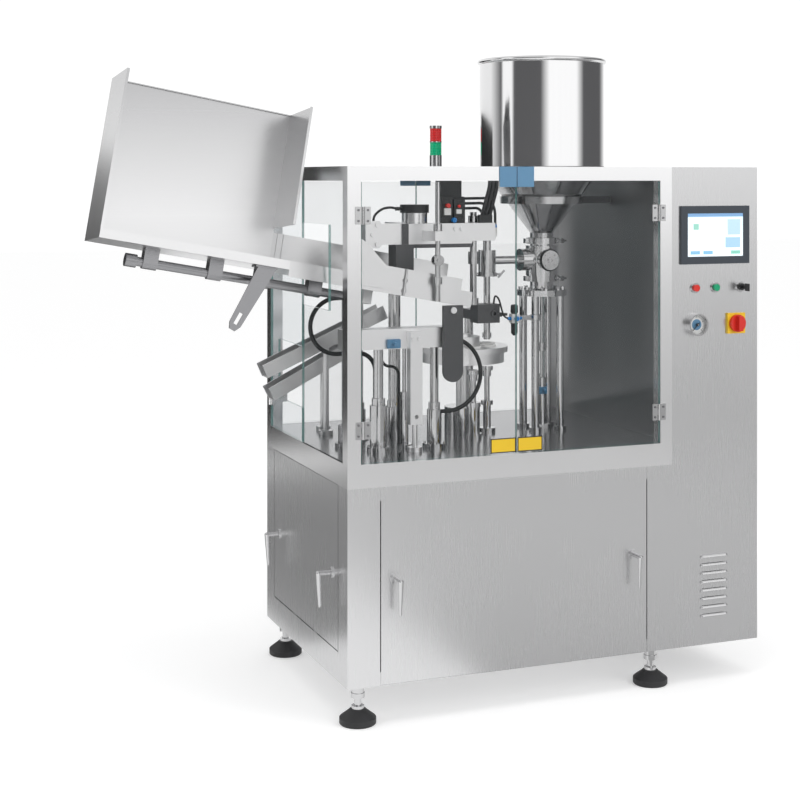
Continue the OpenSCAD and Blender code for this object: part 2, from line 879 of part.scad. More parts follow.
module pump_stand() {
    low = flange_top - flange_t;
    color("silver") placed() {
        difference() {
            union() {
                rod_z(pump_x, line_y, up(low), up(flange_top), flange_d);
                rod_z(pump_x, line_y, up(flange_top), up(joint_low), neck_d);
                rod_z(pump_x, line_y, up(joint_low - ferrule_t), up(joint_low), ferrule_d);
                for (i = [0 : flange_bolt_n - 1])
                    translate([pump_x, line_y, up(flange_top)])
                        rotate([0, 0, (i + 0.5) * 360 / flange_bolt_n])
                        translate([flange_d / 2 - flange_bolt_d, 0, 0])
                            cylinder(d = flange_bolt_d, h = flange_bolt_h, $fn = 6);
            }
            rod_z(pump_x, line_y, up(low) - 1, up(joint_low) + 1, piston_d + run_gap * 2);
        }
        for (x = [-tie_off, tie_off], y = [-tie_off, tie_off]) {
            rod_z(pump_x + x, line_y + y, z_deck, up(low), tie_d);
            rod_z(pump_x + x, line_y + y, z_deck, up(tie_foot_t), tie_d + tie_foot_w * 2);
        }
        difference() {
            union() {
                rod_z(pump_x, line_y, z_deck, up(cyl_top), cyl_d);
                translate([pump_x, line_y, z_deck])
                    block([-cyl_foot / 2, -cyl_foot / 2, 0], [cyl_foot / 2, cyl_foot / 2, cyl_base]);
            }
            rod_z(pump_x, line_y, up(cyl_base), up(cyl_top) + 1, piston_rod_d + run_gap * 2);
        }
    }
}

module pump_piston() {
    low = flange_top - flange_t + 4;
    color("gainsboro") placed() {
        rod_z(pump_x, line_y, up(cyl_base) + 1, up(low), piston_rod_d);
        rod_z(pump_x, line_y, up(low), up(joint_low - piston_stroke - 2), piston_d);
        rod_z(pump_x, line_y, up(cyl_top + coupler_low),
            up(cyl_top + coupler_low + coupler_h), piston_rod_d + coupler_w);
    }
}

coupler_low = 90;
coupler_h = 28;
coupler_w = 12;
nozzle_low = 515;
nozzle_high = 602;
actuator_low = 638;
nozzle_band_h = 12;
nozzle_band_w = 5;
nozzle_ear = 18;
nozzle_ear_d = 8;
nozzle_knob_d = 17;
nozzle_skirt_h = 16;
nozzle_skirt_w = 4;

module nozzle_body() {
    port_x = pump_x - valve_d / 2 - port_t;
    band_r = nozzle_body_d / 2 + nozzle_band_w;
    band_z = up(nozzle_low + nozzle_band_h / 2);
    color("silver") placed() difference() {
        union() {
            rod_z(fill_x, line_y, up(nozzle_low), up(nozzle_high), nozzle_body_d);
            rod_z(fill_x, line_y, up(nozzle_low), up(nozzle_low + nozzle_band_h), band_r * 2);
            rod_z(fill_x, line_y, up(nozzle_tip), up(nozzle_low), nozzle_d);
            rod_z(fill_x, line_y, up(nozzle_tip + 6),
                up(nozzle_tip + 6 + nozzle_skirt_h), nozzle_d + nozzle_skirt_w * 2);
            rod_z(fill_x, line_y, up(nozzle_high), up(actuator_low), nozzle_d + nozzle_skirt_w);
            rod_x(fill_x, port_x, line_y, up(pipe_h), pipe_d);
            rod_x(port_x - port_t, port_x, line_y, up(pipe_h), port_d);
            rod_x(fill_x - band_r - nozzle_ear, fill_x + band_r + nozzle_ear, line_y, band_z, nozzle_ear_d);
            rod_x(fill_x - band_r - nozzle_ear, fill_x - band_r - nozzle_ear / 3,
                line_y, band_z, nozzle_knob_d);
            translate([fill_x + band_r + nozzle_ear, line_y, band_z]) rotate([0, 45, 0])
                block([-3, -3, -nozzle_knob_d], [3, 3, nozzle_knob_d]);
        }
        rod_z(fill_x, line_y, up(nozzle_tip) - 1, up(actuator_low) + 1, stem_rod_d + run_gap * 2);
    }
}

stem_over = 20;

module nozzle_stem() {
    color("gainsboro") placed()
        rod_z(fill_x, line_y, up(nozzle_tip) + 1, up(actuator_low + stem_over), stem_rod_d);
}

actuator_w = 44;
actuator_h = 38;
elbow_d = 13;
elbow_out = 8;
elbow_low = 8;

module nozzle_actuator() {
    h = actuator_w / 2;
    seat = stem_over + stem_lift + 2;
    color("white") placed() difference() {
        union() {
            block([fill_x - h, line_y - h, up(actuator_low)],
                [fill_x + h, line_y + h, up(actuator_low + actuator_h)]);
            rod_x(fill_x + h, fill_x + h + elbow_out,
                line_y, up(actuator_low + elbow_low + elbow_d / 2), elbow_d);
            rod_z(fill_x + h + elbow_out,
                line_y, up(actuator_low + elbow_low), up(actuator_low + actuator_h), elbow_d);
        }
        rod_z(fill_x, line_y, up(actuator_low) - 1, up(actuator_low + seat), stem_rod_d + run_gap * 2);
    }
}

ring_low = 238;
index_low = 400;
shaft_down = 78;
table_hub_d = 88;
ring_over = 26;
ring_under = 6;
top_hub_d = 116;
top_hub_h = 30;
cap_d = 60;
cap_h = 8;
cup_wall = 4;
cup_lip_h = 6;
cup_lip_w = 4;
cup_hole_d = 14;

module at_cups() {
    for (i = [0 : cup_n - 1])
        translate([table_x, line_y, 0])
            rotate([0, 0, i * 360 / cup_n]) translate([pitch_r, 0, 0]) children();
}

module turntable() {
    ring_out = pitch_r + cup_d / 2 + ring_over;
    ring_in = pitch_r - cup_d / 2 - ring_under;
    color("gainsboro") placed() difference() {
        union() {
            rod_z(table_x, line_y, up(-deck_t - shaft_down), up(disc_top), shaft_d);
            rod_z(table_x, line_y, up(ring_low), up(disc_top), table_hub_d);
            rod_z(table_x, line_y, up(disc_top - disc_t), up(disc_top), disc_r * 2);
            ring_z(table_x, line_y, up(ring_low), up(disc_top), ring_out * 2, ring_in * 2);
            rod_z(table_x, line_y, up(disc_top), up(disc_top + top_hub_h), top_hub_d);
            rod_z(table_x, line_y, up(disc_top + top_hub_h), up(disc_top + top_hub_h + cap_h), cap_d);
        }
        at_cups() rod_z(0, 0, up(ring_low) - 1, up(disc_top) + 1, cup_d + seat_gap * 2);
    }
}

module tube_cups() {
    low = up(disc_top - cup_h);
    color("white") placed() at_cups() difference() {
        union() {
            rod_z(0, 0, low, up(disc_top), cup_d);
            rod_z(0, 0, up(disc_top), up(disc_top + cup_lip_h), cup_d + cup_lip_w * 2);
        }
        rod_z(0, 0, low + cup_wall, up(disc_top + cup_lip_h) + 1, cup_d - cup_wall * 2);
        rod_z(0, 0, low - 1, up(disc_top), cup_hole_d);
    }
}

cam_gap = 1.5;
cam_x = table_x + pitch_r / 2;
cam_z = z_rim - 230;
roller_d = 28;
fill_cam_y = line_y + pitch_r;
roller_z = cam_z + cam_r + cam_throw + cam_gap + roller_d / 2;
foot_t = 12;
foot_w = 16;
head_h = 14;
head_w = 11;
neck_h = 20;
neck_w = 5;

// Lifter: head with collars, rod, and below the deck a foot with its cam roller
module lifter_rod(x, y) {
    rod_z(x, y, roller_z, up(lifter_top), lifter_d);
    rod_z(x, y, up(lifter_top - head_h), up(lifter_top), lifter_d + head_w * 2);
    rod_z(x, y, up(lifter_top - head_h - neck_h), up(lifter_top - head_h), lifter_d + neck_w * 2);
}

module front_lifter() {
    half = foot_w / 2;
    color("silver") placed() {
        lifter_rod(table_x, front_y);
        block([table_x, front_y - half, roller_z - foot_t / 2],
            [cam_x, front_y + half, roller_z + foot_t / 2]);
        rod_y(cam_x, front_y - half, front_y + half, roller_z, roller_d);
    }
}

module fill_lifter() {
    half = foot_w / 2;
    color("silver") placed() {
        lifter_rod(fill_x, line_y);
        block([fill_x - half, line_y, roller_z - foot_t / 2],
            [fill_x + half, fill_cam_y + half, roller_z + foot_t / 2]);
        block([cam_x, fill_cam_y - half, roller_z - foot_t / 2],
            [fill_x, fill_cam_y + half, roller_z + foot_t / 2]);
        rod_y(cam_x, fill_cam_y - half, fill_cam_y + half, roller_z, roller_d);
    }
}

col_left_x = 172;
col_right_x = 358;
col_right_sleeve = 46;
rear_col_y = 470;
rear_cols = [200, 330];
nozzle_col = [650, 590];
clamp_low = 362;
clamp_high = 424;
flange_h = 14;
collar_h = 22;
set_screw_d = 9;
bush_h = 104;
bush_d = 26;
bush_top = 14;
bush_top_d = 40;
bush_foot_d = 56;
sleeve_top = 114;
sleeve_d = 42;
sleeve_foot_d = 54;
housing_h = 90;
housing_d = 118;
air_cyl = [264, 216];
air_cyl_d = 26;
air_cyl_h = 176;

// Column of flange, sleeve, collar and rod on the deck
module column(x, y, flange, sleeve, sleeve_h, rod, top) {
    collar = (sleeve + rod) / 2;
    difference() {
        union() {
            rod_z(x, y, z_deck, up(flange_h), flange);
            rod_z(x, y, z_deck, up(sleeve_h), sleeve);
            rod_z(x, y, up(sleeve_h), up(sleeve_h + collar_h), collar);
            rod_z(x, y, z_deck, up(top), rod);
        }
        rod_y(x, y - sleeve / 2 - 1, y - rod / 2 + 1, up(sleeve_h + collar_h / 2), set_screw_d);
    }
}

module deck_columns() {
    color("silver") placed() {
        column(col_left_x, beam_y, 72, 54, 141, 30, box_low);
        column(col_right_x, beam_y, 74, col_right_sleeve, 119, 27, box_low);
        for (x = rear_cols) column(x, rear_col_y, 78, 56, 90, 40, upper_low);
        column(nozzle_col[0], nozzle_col[1], 64, 44, 80, 30, clamp_low);
        difference() {
            rod_z(table_x, line_y, z_deck, up(housing_h), housing_d);
            rod_z(table_x, line_y, z_deck - 1, up(housing_h) + 1, shaft_d + run_gap * 2);
        }
        difference() {
            union() {
                rod_z(table_x, front_y, z_deck, up(sleeve_top), sleeve_d);
                rod_z(table_x, front_y, up(sleeve_top - bush_top), up(sleeve_top), sleeve_d + 6);
                rod_z(table_x, front_y, z_deck, up(flange_h), sleeve_foot_d);
            }
            rod_z(table_x, front_y, z_deck - 1, up(sleeve_top) + 1, lifter_d + run_gap * 2);
        }
        difference() {
            union() {
                rod_z(fill_x, line_y, z_deck, up(bush_h), bush_d);
                rod_z(fill_x, line_y, up(bush_h - bush_top), up(bush_h), bush_top_d);
                rod_z(fill_x, line_y, z_deck, up(flange_h), bush_foot_d);
            }
            rod_z(fill_x, line_y, z_deck - 1, up(bush_h) + 1, lifter_d + run_gap * 2);
        }
        rod_z(air_cyl[0], air_cyl[1], z_deck, up(air_cyl_h), air_cyl_d);
        rod_z(air_cyl[0], air_cyl[1], z_deck, up(flange_h), air_cyl_d + 22);
        rod_z(air_cyl[0], air_cyl[1], up(air_cyl_h), up(box_low), air_cyl_d / 2);
    }
}

box_left = 50;
box_right = 402;
upper_left = 151;
upper_right = 518;
upper_y = 300;
pusher_x = 361;
pusher_y = 178;
pusher_d = 16;
spindle_d = 22;
spindle_block_r = 600;
flap_x = 400;
flap_z = 430;
flap_pin_d = 12;
flap_plate_t = 12;
flap_t = 10;
link_x = 254;
link_w = 40;
link_t = 30;
link_low = 83;
link_screw_d = 16;
link_foot_d = 46;
link_hole_d = 13;
bracket_low = 645;
bracket_high = 675;
bracket_w = 30;
arm_w = 48;
arm_over = 26;
step_h = 8;
spindle_deep = 20;
flap_arm_w = 30;
flap_over = 15;
pin_head_h = 6;
pin_head_w = 4;
bolt_d = 15;
bolt_h = 6;
knuckle_l = 78;
knuckle_t = 10;
knuckle_over = 10;

module machine_beams() {
    front = beam_y - box_s / 2;
    top_front = upper_y - upper_s / 2;
    top_back = upper_y + upper_s / 2;
    top = upper_low + upper_s;
    link_mid = link_x + link_w / 2;
    link_front = front - link_t;
    pin_front = front - flap_plate_t - flap_t - seat_gap * 2;
    color("whitesmoke") placed() {
        difference() {
            union() {
                block([box_left, front, up(box_low)], [box_right, beam_y + box_s / 2, up(box_low + box_s)]);
                block([upper_left, top_front, up(upper_low)], [upper_right, top_back, up(top)]);
                block([upper_right, top_front, up(upper_low + step_h)],
                    [spindle_block_r, top_back + spindle_deep, up(top)]);
                for (x = rear_cols)
                    block([x - arm_w / 2, upper_y, up(upper_low)],
                        [x + arm_w / 2, rear_col_y + arm_over, up(top)]);
                block([pusher_x - bracket_w / 2, pusher_y - bracket_w / 2, up(bracket_low)],
                    [pusher_x + bracket_w / 2, top_front, up(bracket_high)]);
            }
            rod_z(pusher_x, pusher_y, up(bracket_low) - 1, up(bracket_high) + 1, pusher_d + run_gap * 2);
            rod_z(table_x, front_y, up(upper_low), up(top) + 1, spindle_d + run_gap * 2);
        }
        knuckle_plate(top_front);
        for (x = [upper_right - 58, upper_right - 36])
            rod_y(x, top_front - bolt_h, top_front, up(top - 18), bolt_d);
        difference() {
            block([link_x, link_front, up(link_low)],
                [link_x + link_w, front, up(box_low + box_s - step_h)]);
            rod_y(link_mid, link_front - 1, front + 1, up(link_low + link_w * 0.6), link_hole_d);
        }
        for (side = [-1, 1])
            rod_y(link_mid + side * link_w / 4, link_front - bolt_h, link_front,
                up(box_low + box_s / 2), bolt_d);
        rod_z(link_mid, front - link_t / 2, z_deck, up(link_low) + 1, link_screw_d);
        rod_z(link_mid, front - link_t / 2, z_deck, up(flange_h), link_foot_d);
        block([flap_x - flap_arm_w / 2, front - flap_plate_t, up(box_low + 20)],
            [flap_x + flap_arm_w / 2, front, up(flap_z + flap_over)]);
        rod_y(flap_x, pin_front, front - flap_plate_t, up(flap_z), flap_pin_d);
        rod_y(flap_x, pin_front - pin_head_h, pin_front, up(flap_z), flap_pin_d + pin_head_w * 2);
    }
}

// Pointed plate with three bolts on the left end of the upper beam
module knuckle_plate(front) {
    low = upper_low - knuckle_over;
    high = upper_low + upper_s + knuckle_over;
    mid = (low + high) / 2;
    translate([upper_left, front, up(0)]) rotate([90, 0, 0]) linear_extrude(knuckle_t)
        polygon([[0, low], [knuckle_l * 0.6, low], [knuckle_l, mid], [knuckle_l * 0.6, high], [0, high]]);
    for (at = [[0.3, 0], [0.5, 30], [0.5, -30]])
        rod_y(upper_left + knuckle_l * at[0], front - knuckle_t - bolt_h, front - knuckle_t,
            up(mid + at[1]), bolt_d);
}

module tube_flap() {
    back = beam_y - box_s / 2 - flap_plate_t - seat_gap;
    end_r = flap_w / 2;
    low = up(flap_z - flap_l + end_r);
    color("dimgray") placed() difference() {
        union() {
            block([flap_x - end_r, back - flap_t, low], [flap_x + end_r, back, up(flap_z + flap_over)]);
            rod_y(flap_x, back - flap_t, back, low, flap_w);
        }
        rod_y(flap_x, back - flap_t - 1, back + 1, up(flap_z), flap_pin_d + run_gap * 2);
    }
}

guide_x = 252;
guide_w = 60;
guide_drop = 88;
guide_front = 44;
strap_x = 276;
strap_w = 21;
strap_t = 6;
strap_drop = 46;
rail_h = 12;
boss_d = 24;
boss_t = 4;
boss_hole_d = 12;
handle_l = 40;
handle_d = 10;
saddle_h = 24;
saddle_w = 8;
saddle_up = 98;
hopper_arm_w = 36;

// Radius of the outside of the hopper cone at a height above the deck
function cone_r(h) = neck_d / 2 + (hopper_d - neck_d) / 2 * (h - cone_low) / (cone_top - cone_low);

// Conical saddle round the hopper and the arm that carries it on the tower
module hopper_saddle() {
    low = cone_low + saddle_up;
    high = low + saddle_h;
    translate([pump_x, line_y, z_deck]) rotate_extrude($fn = 96)
        polygon([[cone_r(low) + seat_gap * 2, low], [cone_r(high) + seat_gap * 2, high],
            [cone_r(high) + saddle_w, high], [cone_r(high) + saddle_w, low]]);
    block([pump_x + cone_r(high) + saddle_w / 2, line_y - hopper_arm_w / 2, up(low)],
        [main_w, line_y + hopper_arm_w / 2, up(high)]);
}

module dark_brackets() {
    low = up(upper_low - guide_drop);
    top_front = upper_y - upper_s / 2;
    boss_x = fill_x + 13;
    color("dimgray") placed() {
        hopper_saddle();
        block([guide_x, upper_y - guide_front, low],
            [guide_x + guide_w, upper_y + upper_s / 3, up(upper_low)]);
        block([strap_x, top_front - strap_t, low + strap_drop],
            [strap_x + strap_w, top_front, up(upper_low + upper_s)]);
        block([strap_x + strap_w * 2, top_front, up(upper_low - rail_h)],
            [upper_right, upper_y, up(upper_low)]);
        difference() {
            union() {
                block([fill_x - 47, line_y - 30, up(clamp_low)],
                    [fill_x + 33, line_y + 30, up(clamp_high)]);
                rod_y(boss_x, line_y - 30 - boss_t, line_y, up((clamp_low + clamp_high) / 2), boss_d);
            }
            rod_z(fill_x, line_y, up(clamp_low) - 1, up(clamp_high) + 1, nozzle_d + seat_gap * 2);
            rod_y(boss_x, line_y - 31 - boss_t, line_y - 24, up((clamp_low + clamp_high) / 2), boss_hole_d);
        }
        block([fill_x - 8, line_y + 30, up(clamp_low)],
            [fill_x + 32, nozzle_col[1] + 22, up(clamp_low + 32)]);
        rod_x(fill_x + 33, fill_x + 33 + handle_l, line_y, up(clamp_low + 24), handle_d);
        rod_x(fill_x + 33 + handle_l / 3, fill_x + 33 + handle_l / 2,
            line_y, up(clamp_low + 24), handle_d + 5);
    }
}

heater_x = 332;
heater_d = 82;
heater_can_h = 34;
heater_cap_h = 26;
heater_cap_w = 5;
lug_l = 24;
lug_d = 12;
island_x = 416;
island_box = 38;
island_gap = 6;
island_deep = 44;
island_h = 86;
island_post_h = 146;
hose_h = [742, 758, 774];
hose_side = 20;
fitting_l = 18;
fitting_w = 4;
island_end = island_x + island_box * 2 + island_gap;

// Ends of the three air hoses on the shut-off actuator
hose_ends = [[fill_x - 11, line_y - 8], [fill_x + 9, line_y - 8],
    [fill_x + actuator_w / 2 + elbow_out, line_y]];

function hose_from(i) = [island_end, upper_y + hose_side];
function hose_aim(i) = atan2(hose_ends[i][1] - hose_from(i)[1], hose_ends[i][0] - hose_from(i)[0]);
function hose_run(i) = norm(hose_ends[i] - hose_from(i));

// Air heater can and the air valve boxes on top of the upper beam
module upper_devices() {
    z = upper_low + upper_s;
    can_top = z + heater_can_h;
    half = island_deep / 2;
    color("black") placed() {
        rod_z(heater_x, upper_y, up(z), up(can_top), heater_d);
        rod_z(heater_x, upper_y, up(can_top), up(can_top + heater_cap_h), heater_d + heater_cap_w * 2);
        rod_x(heater_x - heater_d / 2 - lug_l, heater_x, upper_y, up(can_top + heater_cap_h / 2), lug_d);
        for (i = [0, 1])
            translate([island_x + i * (island_box + island_gap), upper_y, up(z)])
                block([0, -half, 0], [island_box, half, island_h - i * 10]);
        block([island_x, upper_y + hose_side - 14, up(z)],
            [island_end, upper_y + hose_side + 8, up(z + island_post_h)]);
        for (i = [0 : 2])
            translate([hose_from(i)[0], hose_from(i)[1], up(hose_h[i])]) rotate([0, 0, hose_aim(i)])
                rod_x(-half / 2, fitting_l, 0, 0, hose_d + fitting_w);
    }
}

pusher_low = 456;
pusher_high = 828;
pusher_eye_h = 584;
pusher_eye_d = 34;
pusher_foot_h = 510;
collar_w = 6;
spindle_low = 430;
spindle_over = 34;
spindle_eye_h = 562;
spindle_eye_l = 40;

module pusher_rod() {
    half = pusher_eye_d / 3;
    color("silver") placed() {
        rod_z(pusher_x, pusher_y, up(pusher_low), up(pusher_high), pusher_d);
        rod_z(pusher_x, pusher_y, up(bracket_high) + seat_gap,
            up(bracket_high + collar_h), pusher_d + collar_w * 2);
        rod_y(pusher_x, pusher_y - half, pusher_y + half, up(pusher_eye_h), pusher_eye_d);
        rod_y(pusher_x, pusher_y - half - bolt_h, pusher_y + half, up(pusher_eye_h), bolt_d);
        rod_z(pusher_x, pusher_y, up(pusher_foot_h), up(pusher_foot_h + collar_h), pusher_d + collar_w * 2);
    }
}

module press_spindle() {
    z = upper_low + upper_s;
    color("silver") placed() {
        rod_z(table_x, front_y, up(spindle_low), up(z + spindle_over), spindle_d);
        rod_z(table_x, front_y, up(z) + seat_gap, up(z + collar_h), spindle_d + collar_w * 2);
        rod_z(table_x, front_y, up(spindle_eye_h),
            up(spindle_eye_h + spindle_eye_l), spindle_d + collar_w * 2);
        rod_z(table_x, front_y, up(spindle_low), up(spindle_low + collar_h), spindle_d + collar_w * 2);
    }
}

lip_h = 24;
hem = 8;

module magazine_tray() {
    color("silver") placed() feed_frame() {
        block([-tray_w, 0, -tray_t], [0, tray_t, tray_h]);
        block([-tray_w, -tray_d, -tray_t], [0, 0, 0]);
        block([-tray_w, -tray_d, -tray_t], [-tray_w + tray_t, 0, tray_h]);
        block([-tray_t, -tray_d, outlet_h], [0, 0, tray_h]);
        block([-tray_w, -tray_d - tray_t, -tray_t], [0, -tray_d, lip_h]);
        block([-tray_w, -hem, tray_h - tray_t], [0, 0, tray_h]);
        block([-tray_w, -tray_d, -tray_t], [-tray_w + hem, -tray_d + tray_t, tray_h]);
        block([-hem, -tray_d, outlet_h], [0, -tray_d + tray_t, tray_h]);
    }
}

// Air hose that loops from the feed channel down to the deck
loop_d = 14;
loop_r = 89;
loop_x = 106;
loop_y = 400;
loop_h = 369;
loop_end = 166;
loop_drop_x = 236;
loop_drop_r = 60;
fitting_x = 318;
fitting_drop = 52;
guide_start = 270;
guide_h = 60;
guide_end = 40;
gusset_start = 196;
gusset_h = 136;
gusset_l = 120;
gusset_t = 4;
joint_straps = [14, 34];
strap_sheet = 4;
joint_strap_w = 12;
adjuster_x = 377;
adjuster_d = 8;

module feed_channel() {
    front = -tray_d - tray_t;
    color("whitesmoke") placed() {
        feed_frame() {
            block([0, -tray_d, -tray_t], [channel_l, 0, 0]);
            block([0, 0, -tray_t], [channel_l, tray_t, channel_h]);
            block([0, front, -lip_h], [channel_l, -tray_d, lip_h]);
            block([guide_start, front, -lip_h], [channel_l - guide_end, -tray_d, guide_h]);
            gusset(front);
            for (x = joint_straps)
                block([x, -strap_sheet, 0], [x + joint_strap_w, 0, channel_h]);
            adjuster(front);
            block([fitting_x, -30, -fitting_drop], [fitting_x + 30, 2, -1]);
        }
        rod_x(loop_end, loop_end + 34, loop_y, up(loop_h + loop_r), loop_d + fitting_w);
    }
}

// Cut plate that joins the channel's front wall to the machine
module gusset(front) {
    translate([gusset_start, front, 0]) rotate([90, 0, 0]) linear_extrude(gusset_t)
        polygon([[0, -lip_h / 2], [gusset_l - 6, -lip_h / 2], [gusset_l, guide_h * 0.9],
            [gusset_l / 3, gusset_h * 0.86], [0, gusset_h]]);
}

// Screw with two collars on the channel's front wall, which sets the channel width
module adjuster(front) {
    translate([adjuster_x, front - adjuster_d / 3, 0]) {
        translate([0, 0, -lip_h]) cylinder(d = adjuster_d, h = lip_h + guide_h);
        for (z = [-lip_h / 2, guide_h / 3])
            translate([0, 0, z]) cylinder(d = adjuster_d * 1.8, h = adjuster_d);
    }
}

support_bar_d = 28;
support_drop = 46;
support_left = 440;
support_l = 700;
support_y = -110;
support_clamps = [-400, -200, -50, 120];
support_clamp_w = 44;
support_clamp_l = 40;
end_knob_d = 40;
end_knob_l = 34;
arm_x = -66;
arm_l = 205;
arm_top_w = 54;
arm_low_w = 38;
arm_t = 6;
arm_in = 14;
arm_tab = 46;
arm_slot_d = 12;
arm_tilt = 22;
deck_post = [100, 300];
deck_post_h = 471;
deck_post_d = 24;

// Tapered plate that hangs from the magazine's outlet end, with a slot near its foot
module support_arm() {
    foot_z = -arm_l + arm_low_w / 2;
    rotate([90, 0, 0]) linear_extrude(arm_t) difference() {
        polygon([[-arm_top_w / 2, 0], [-arm_low_w / 2, foot_z], [-arm_low_w / 4, -arm_l],
            [arm_low_w / 4, -arm_l], [arm_low_w / 2, foot_z], [arm_top_w / 2, arm_top_w * tan(arm_tilt)]]);
        translate([-arm_slot_d / 2, foot_z]) square([arm_slot_d, arm_low_w]);
    }
}

module magazine_support() {
    half_w = support_clamp_w / 2;
    half_l = support_clamp_l / 2;
    color("dimgray") placed() {
        feed_frame() {
            translate([-support_left, support_y, -support_drop]) rotate([0, 90, 0]) {
                cylinder(d = support_bar_d, h = support_l);
                translate([0, 0, -end_knob_l]) cylinder(d = end_knob_d, h = end_knob_l);
            }
            for (x = support_clamps)
                translate([x, support_y, 0]) {
                    block([-half_w, -half_l, -support_drop - 4], [half_w, half_l, -tray_t]);
                    translate([-half_w, 0, -support_drop])
                        rotate([0, 90, 0]) cylinder(d = support_bar_d + 10, h = support_clamp_w);
                }
            translate([arm_x, -tray_d + arm_in + arm_t, -tray_t - arm_t / 2 - arm_top_w / 2 * sin(arm_tilt)])
                rotate([0, arm_tilt, 0]) support_arm();
            block([arm_x - arm_top_w / 2 - arm_t, -tray_d + arm_in - arm_t / 2, -tray_t - arm_t],
                [arm_x + arm_top_w / 2 + arm_t, -tray_d + arm_in + arm_tab, -tray_t]);
        }
        translate([deck_post[0], deck_post[1], 0]) {
            rod_z(0, 0, z_deck, up(deck_post_h), deck_post_d);
            rod_z(0, 0, z_deck, up(housing_h - 20), deck_post_d + 22);
            rod_z(0, 0, z_deck, up(flange_h), deck_post_d + 42);
        }
    }
}

chute_t = 3;

// U shaped chute that climbs to the right
module chute(length) {
    difference() {
        cube([length, chute_w, chute_h]);
        translate([-1, chute_t, chute_t]) cube([length + 2, chute_w - chute_t * 2, chute_h]);
    }
}

upper_chute = [-88, 515, 198];
upper_chute_l = 450;
upper_post = 208;
lower_chute = [-40, 600, 112];
lower_chute_l = 360;
lower_post = 180;
lower_slope = 27;
chute_post_d = 20;
chute_foot_d = 48;

// Chute at its place, with the post that carries it
module chute_on_post(place, slope, length, post_in) {
    post_x = place[0] + post_in;
    post_y = place[1] + chute_w / 2;
    translate([place[0], place[1], up(place[2])]) rotate([0, -slope, 0]) chute(length);
    rod_z(post_x, post_y, z_deck, up(place[2] + post_in * tan(slope)) + 1, chute_post_d);
    rod_z(post_x, post_y, z_deck, up(flange_h), chute_foot_d);
}

module discharge_chutes() {
    color("gray") placed() {
        chute_on_post(upper_chute, chute_slope, upper_chute_l, upper_post);
        chute_on_post(lower_chute, lower_slope, lower_chute_l, lower_post);
    }
}

bundle_d = 12;
bundle_x = 570;
bundle_y = 282;
bundle_lean = 16;
rear_r = 60;
socket_h = 26;
socket_over = 3;
thin_r = 58;
flap_hose_r = 115;
flap_hose_h = 340;
flap_hose_d = 13;
drop_x = 188;
drop_r = 28.5;
drop_start = 30;

// Straight length of hose along +X; what follows starts at its end
module run(length, d) {
    rod_x(0, length, 0, 0, d);
    translate([length, 0, 0]) children();
}

// Bend of a hose that leaves along +X and turns down by an angle; what follows starts at its end
module bend(r, angle, d) {
    translate([0, 0, -r]) rotate([90, 0, 0]) rotate([0, 0, 90 - angle]) rotate_extrude(angle = angle)
        translate([r, 0]) circle(d = d, $fn = 24);
    translate([r * sin(angle), 0, -r * (1 - cos(angle))]) rotate([0, angle, 0]) children();
}

// Turns a hose over, so that the next bend goes the other way
module over() {
    rotate([180, 0, 0]) children();
}

// Hoses that climb side by side out of a socket and turn to the rear beam
module hose_bundle() {
    pitch = bundle_d + 1;
    half_y = bundle_d / 2 + socket_over;
    half_x = half_y + pitch;
    climb = chamber_h - beam_h / 2 - upper_low - upper_s - socket_h / 2;
    translate([bundle_x, bundle_y, up(upper_low + upper_s)]) {
        block([-half_x, -half_y, 0], [half_x, half_y, socket_h]);
        for (side = [-1 : 1])
            translate([0, 0, socket_h / 2]) rotate([0, bundle_lean, 0]) translate([side * pitch, 0, 0])
                rotate([0, 0, 90]) rotate([0, -90, 0]) run(climb / cos(bundle_lean) - rear_r, bundle_d)
                    bend(rear_r, 90, bundle_d) run(depth - post - bundle_y - rear_r, bundle_d);
    }
}

// Thin hoses from the air valves to the shut-off actuator
module actuator_hoses() {
    for (i = [0 : 2])
        translate([hose_from(i)[0], hose_from(i)[1], up(hose_h[i])]) rotate([0, 0, hose_aim(i)])
            translate([fitting_l, 0, 0]) run(hose_run(i) - fitting_l - thin_r, hose_d)
                bend(thin_r, 90, hose_d) run(hose_h[i] - thin_r - actuator_low - actuator_h, hose_d);
}

module hoses() {
    color("black") placed() {
        hose_bundle();
        actuator_hoses();
        translate([loop_end, loop_y, up(loop_h + loop_r)])
            rotate([0, 0, 180]) run(loop_end - loop_x, loop_d)
            bend(loop_r, 180, loop_d) run(loop_drop_x - loop_drop_r - loop_x, loop_d)
                over() bend(loop_drop_r, 90, loop_d) run(loop_h - loop_r - loop_drop_r, loop_d);
        translate([box_right, beam_y, up(flap_hose_h)]) bend(flap_hose_r, 180, flap_hose_d)
            run(box_right - col_right_x - col_right_sleeve / 2, flap_hose_d);
        translate([drop_x, air_cyl[1], up(box_low)]) rotate([0, 90, 0]) over() run(drop_start, hose_d)
            bend(drop_r, 90, hose_d) over() bend(drop_r, 90, hose_d)
                run(box_low - drop_start - drop_r * 2 - flange_h, hose_d);
    }
}

front_latch_x = panel_left + latch_in;
front_latch_far = panel_right - latch_in;

module front_latch_left() {
    color("silver") placed() latch(front_latch_x, latch_z, strip_w - tongue_over - front_latch_x);
}

module front_latch_right() {
    color("silver") placed()
        latch(front_latch_far, latch_z, panel_right + panel_gap + tongue_over - front_latch_far);
}

module side_latch_front() {
    color("silver") placed() on_left()
        latch(depth - side_latch_in, latch_z, side_latch_in - side_strip + tongue_over);
}

module side_latch_rear() {
    color("silver") placed() on_left()
        latch(side_latch_in, latch_z, side_strip - tongue_over - side_latch_in);
}

index_w = 140;
gear_y = 640;
gear_w = 140;
gear_h = 180;
gear_l = 100;
gear_bore = 30;
motor_d = 96;
motor_l = 220;
motor_cap = 50;
motor_cap_w = 7;
stand_in = 15;
cam_t = 12;
cam_over = 30;

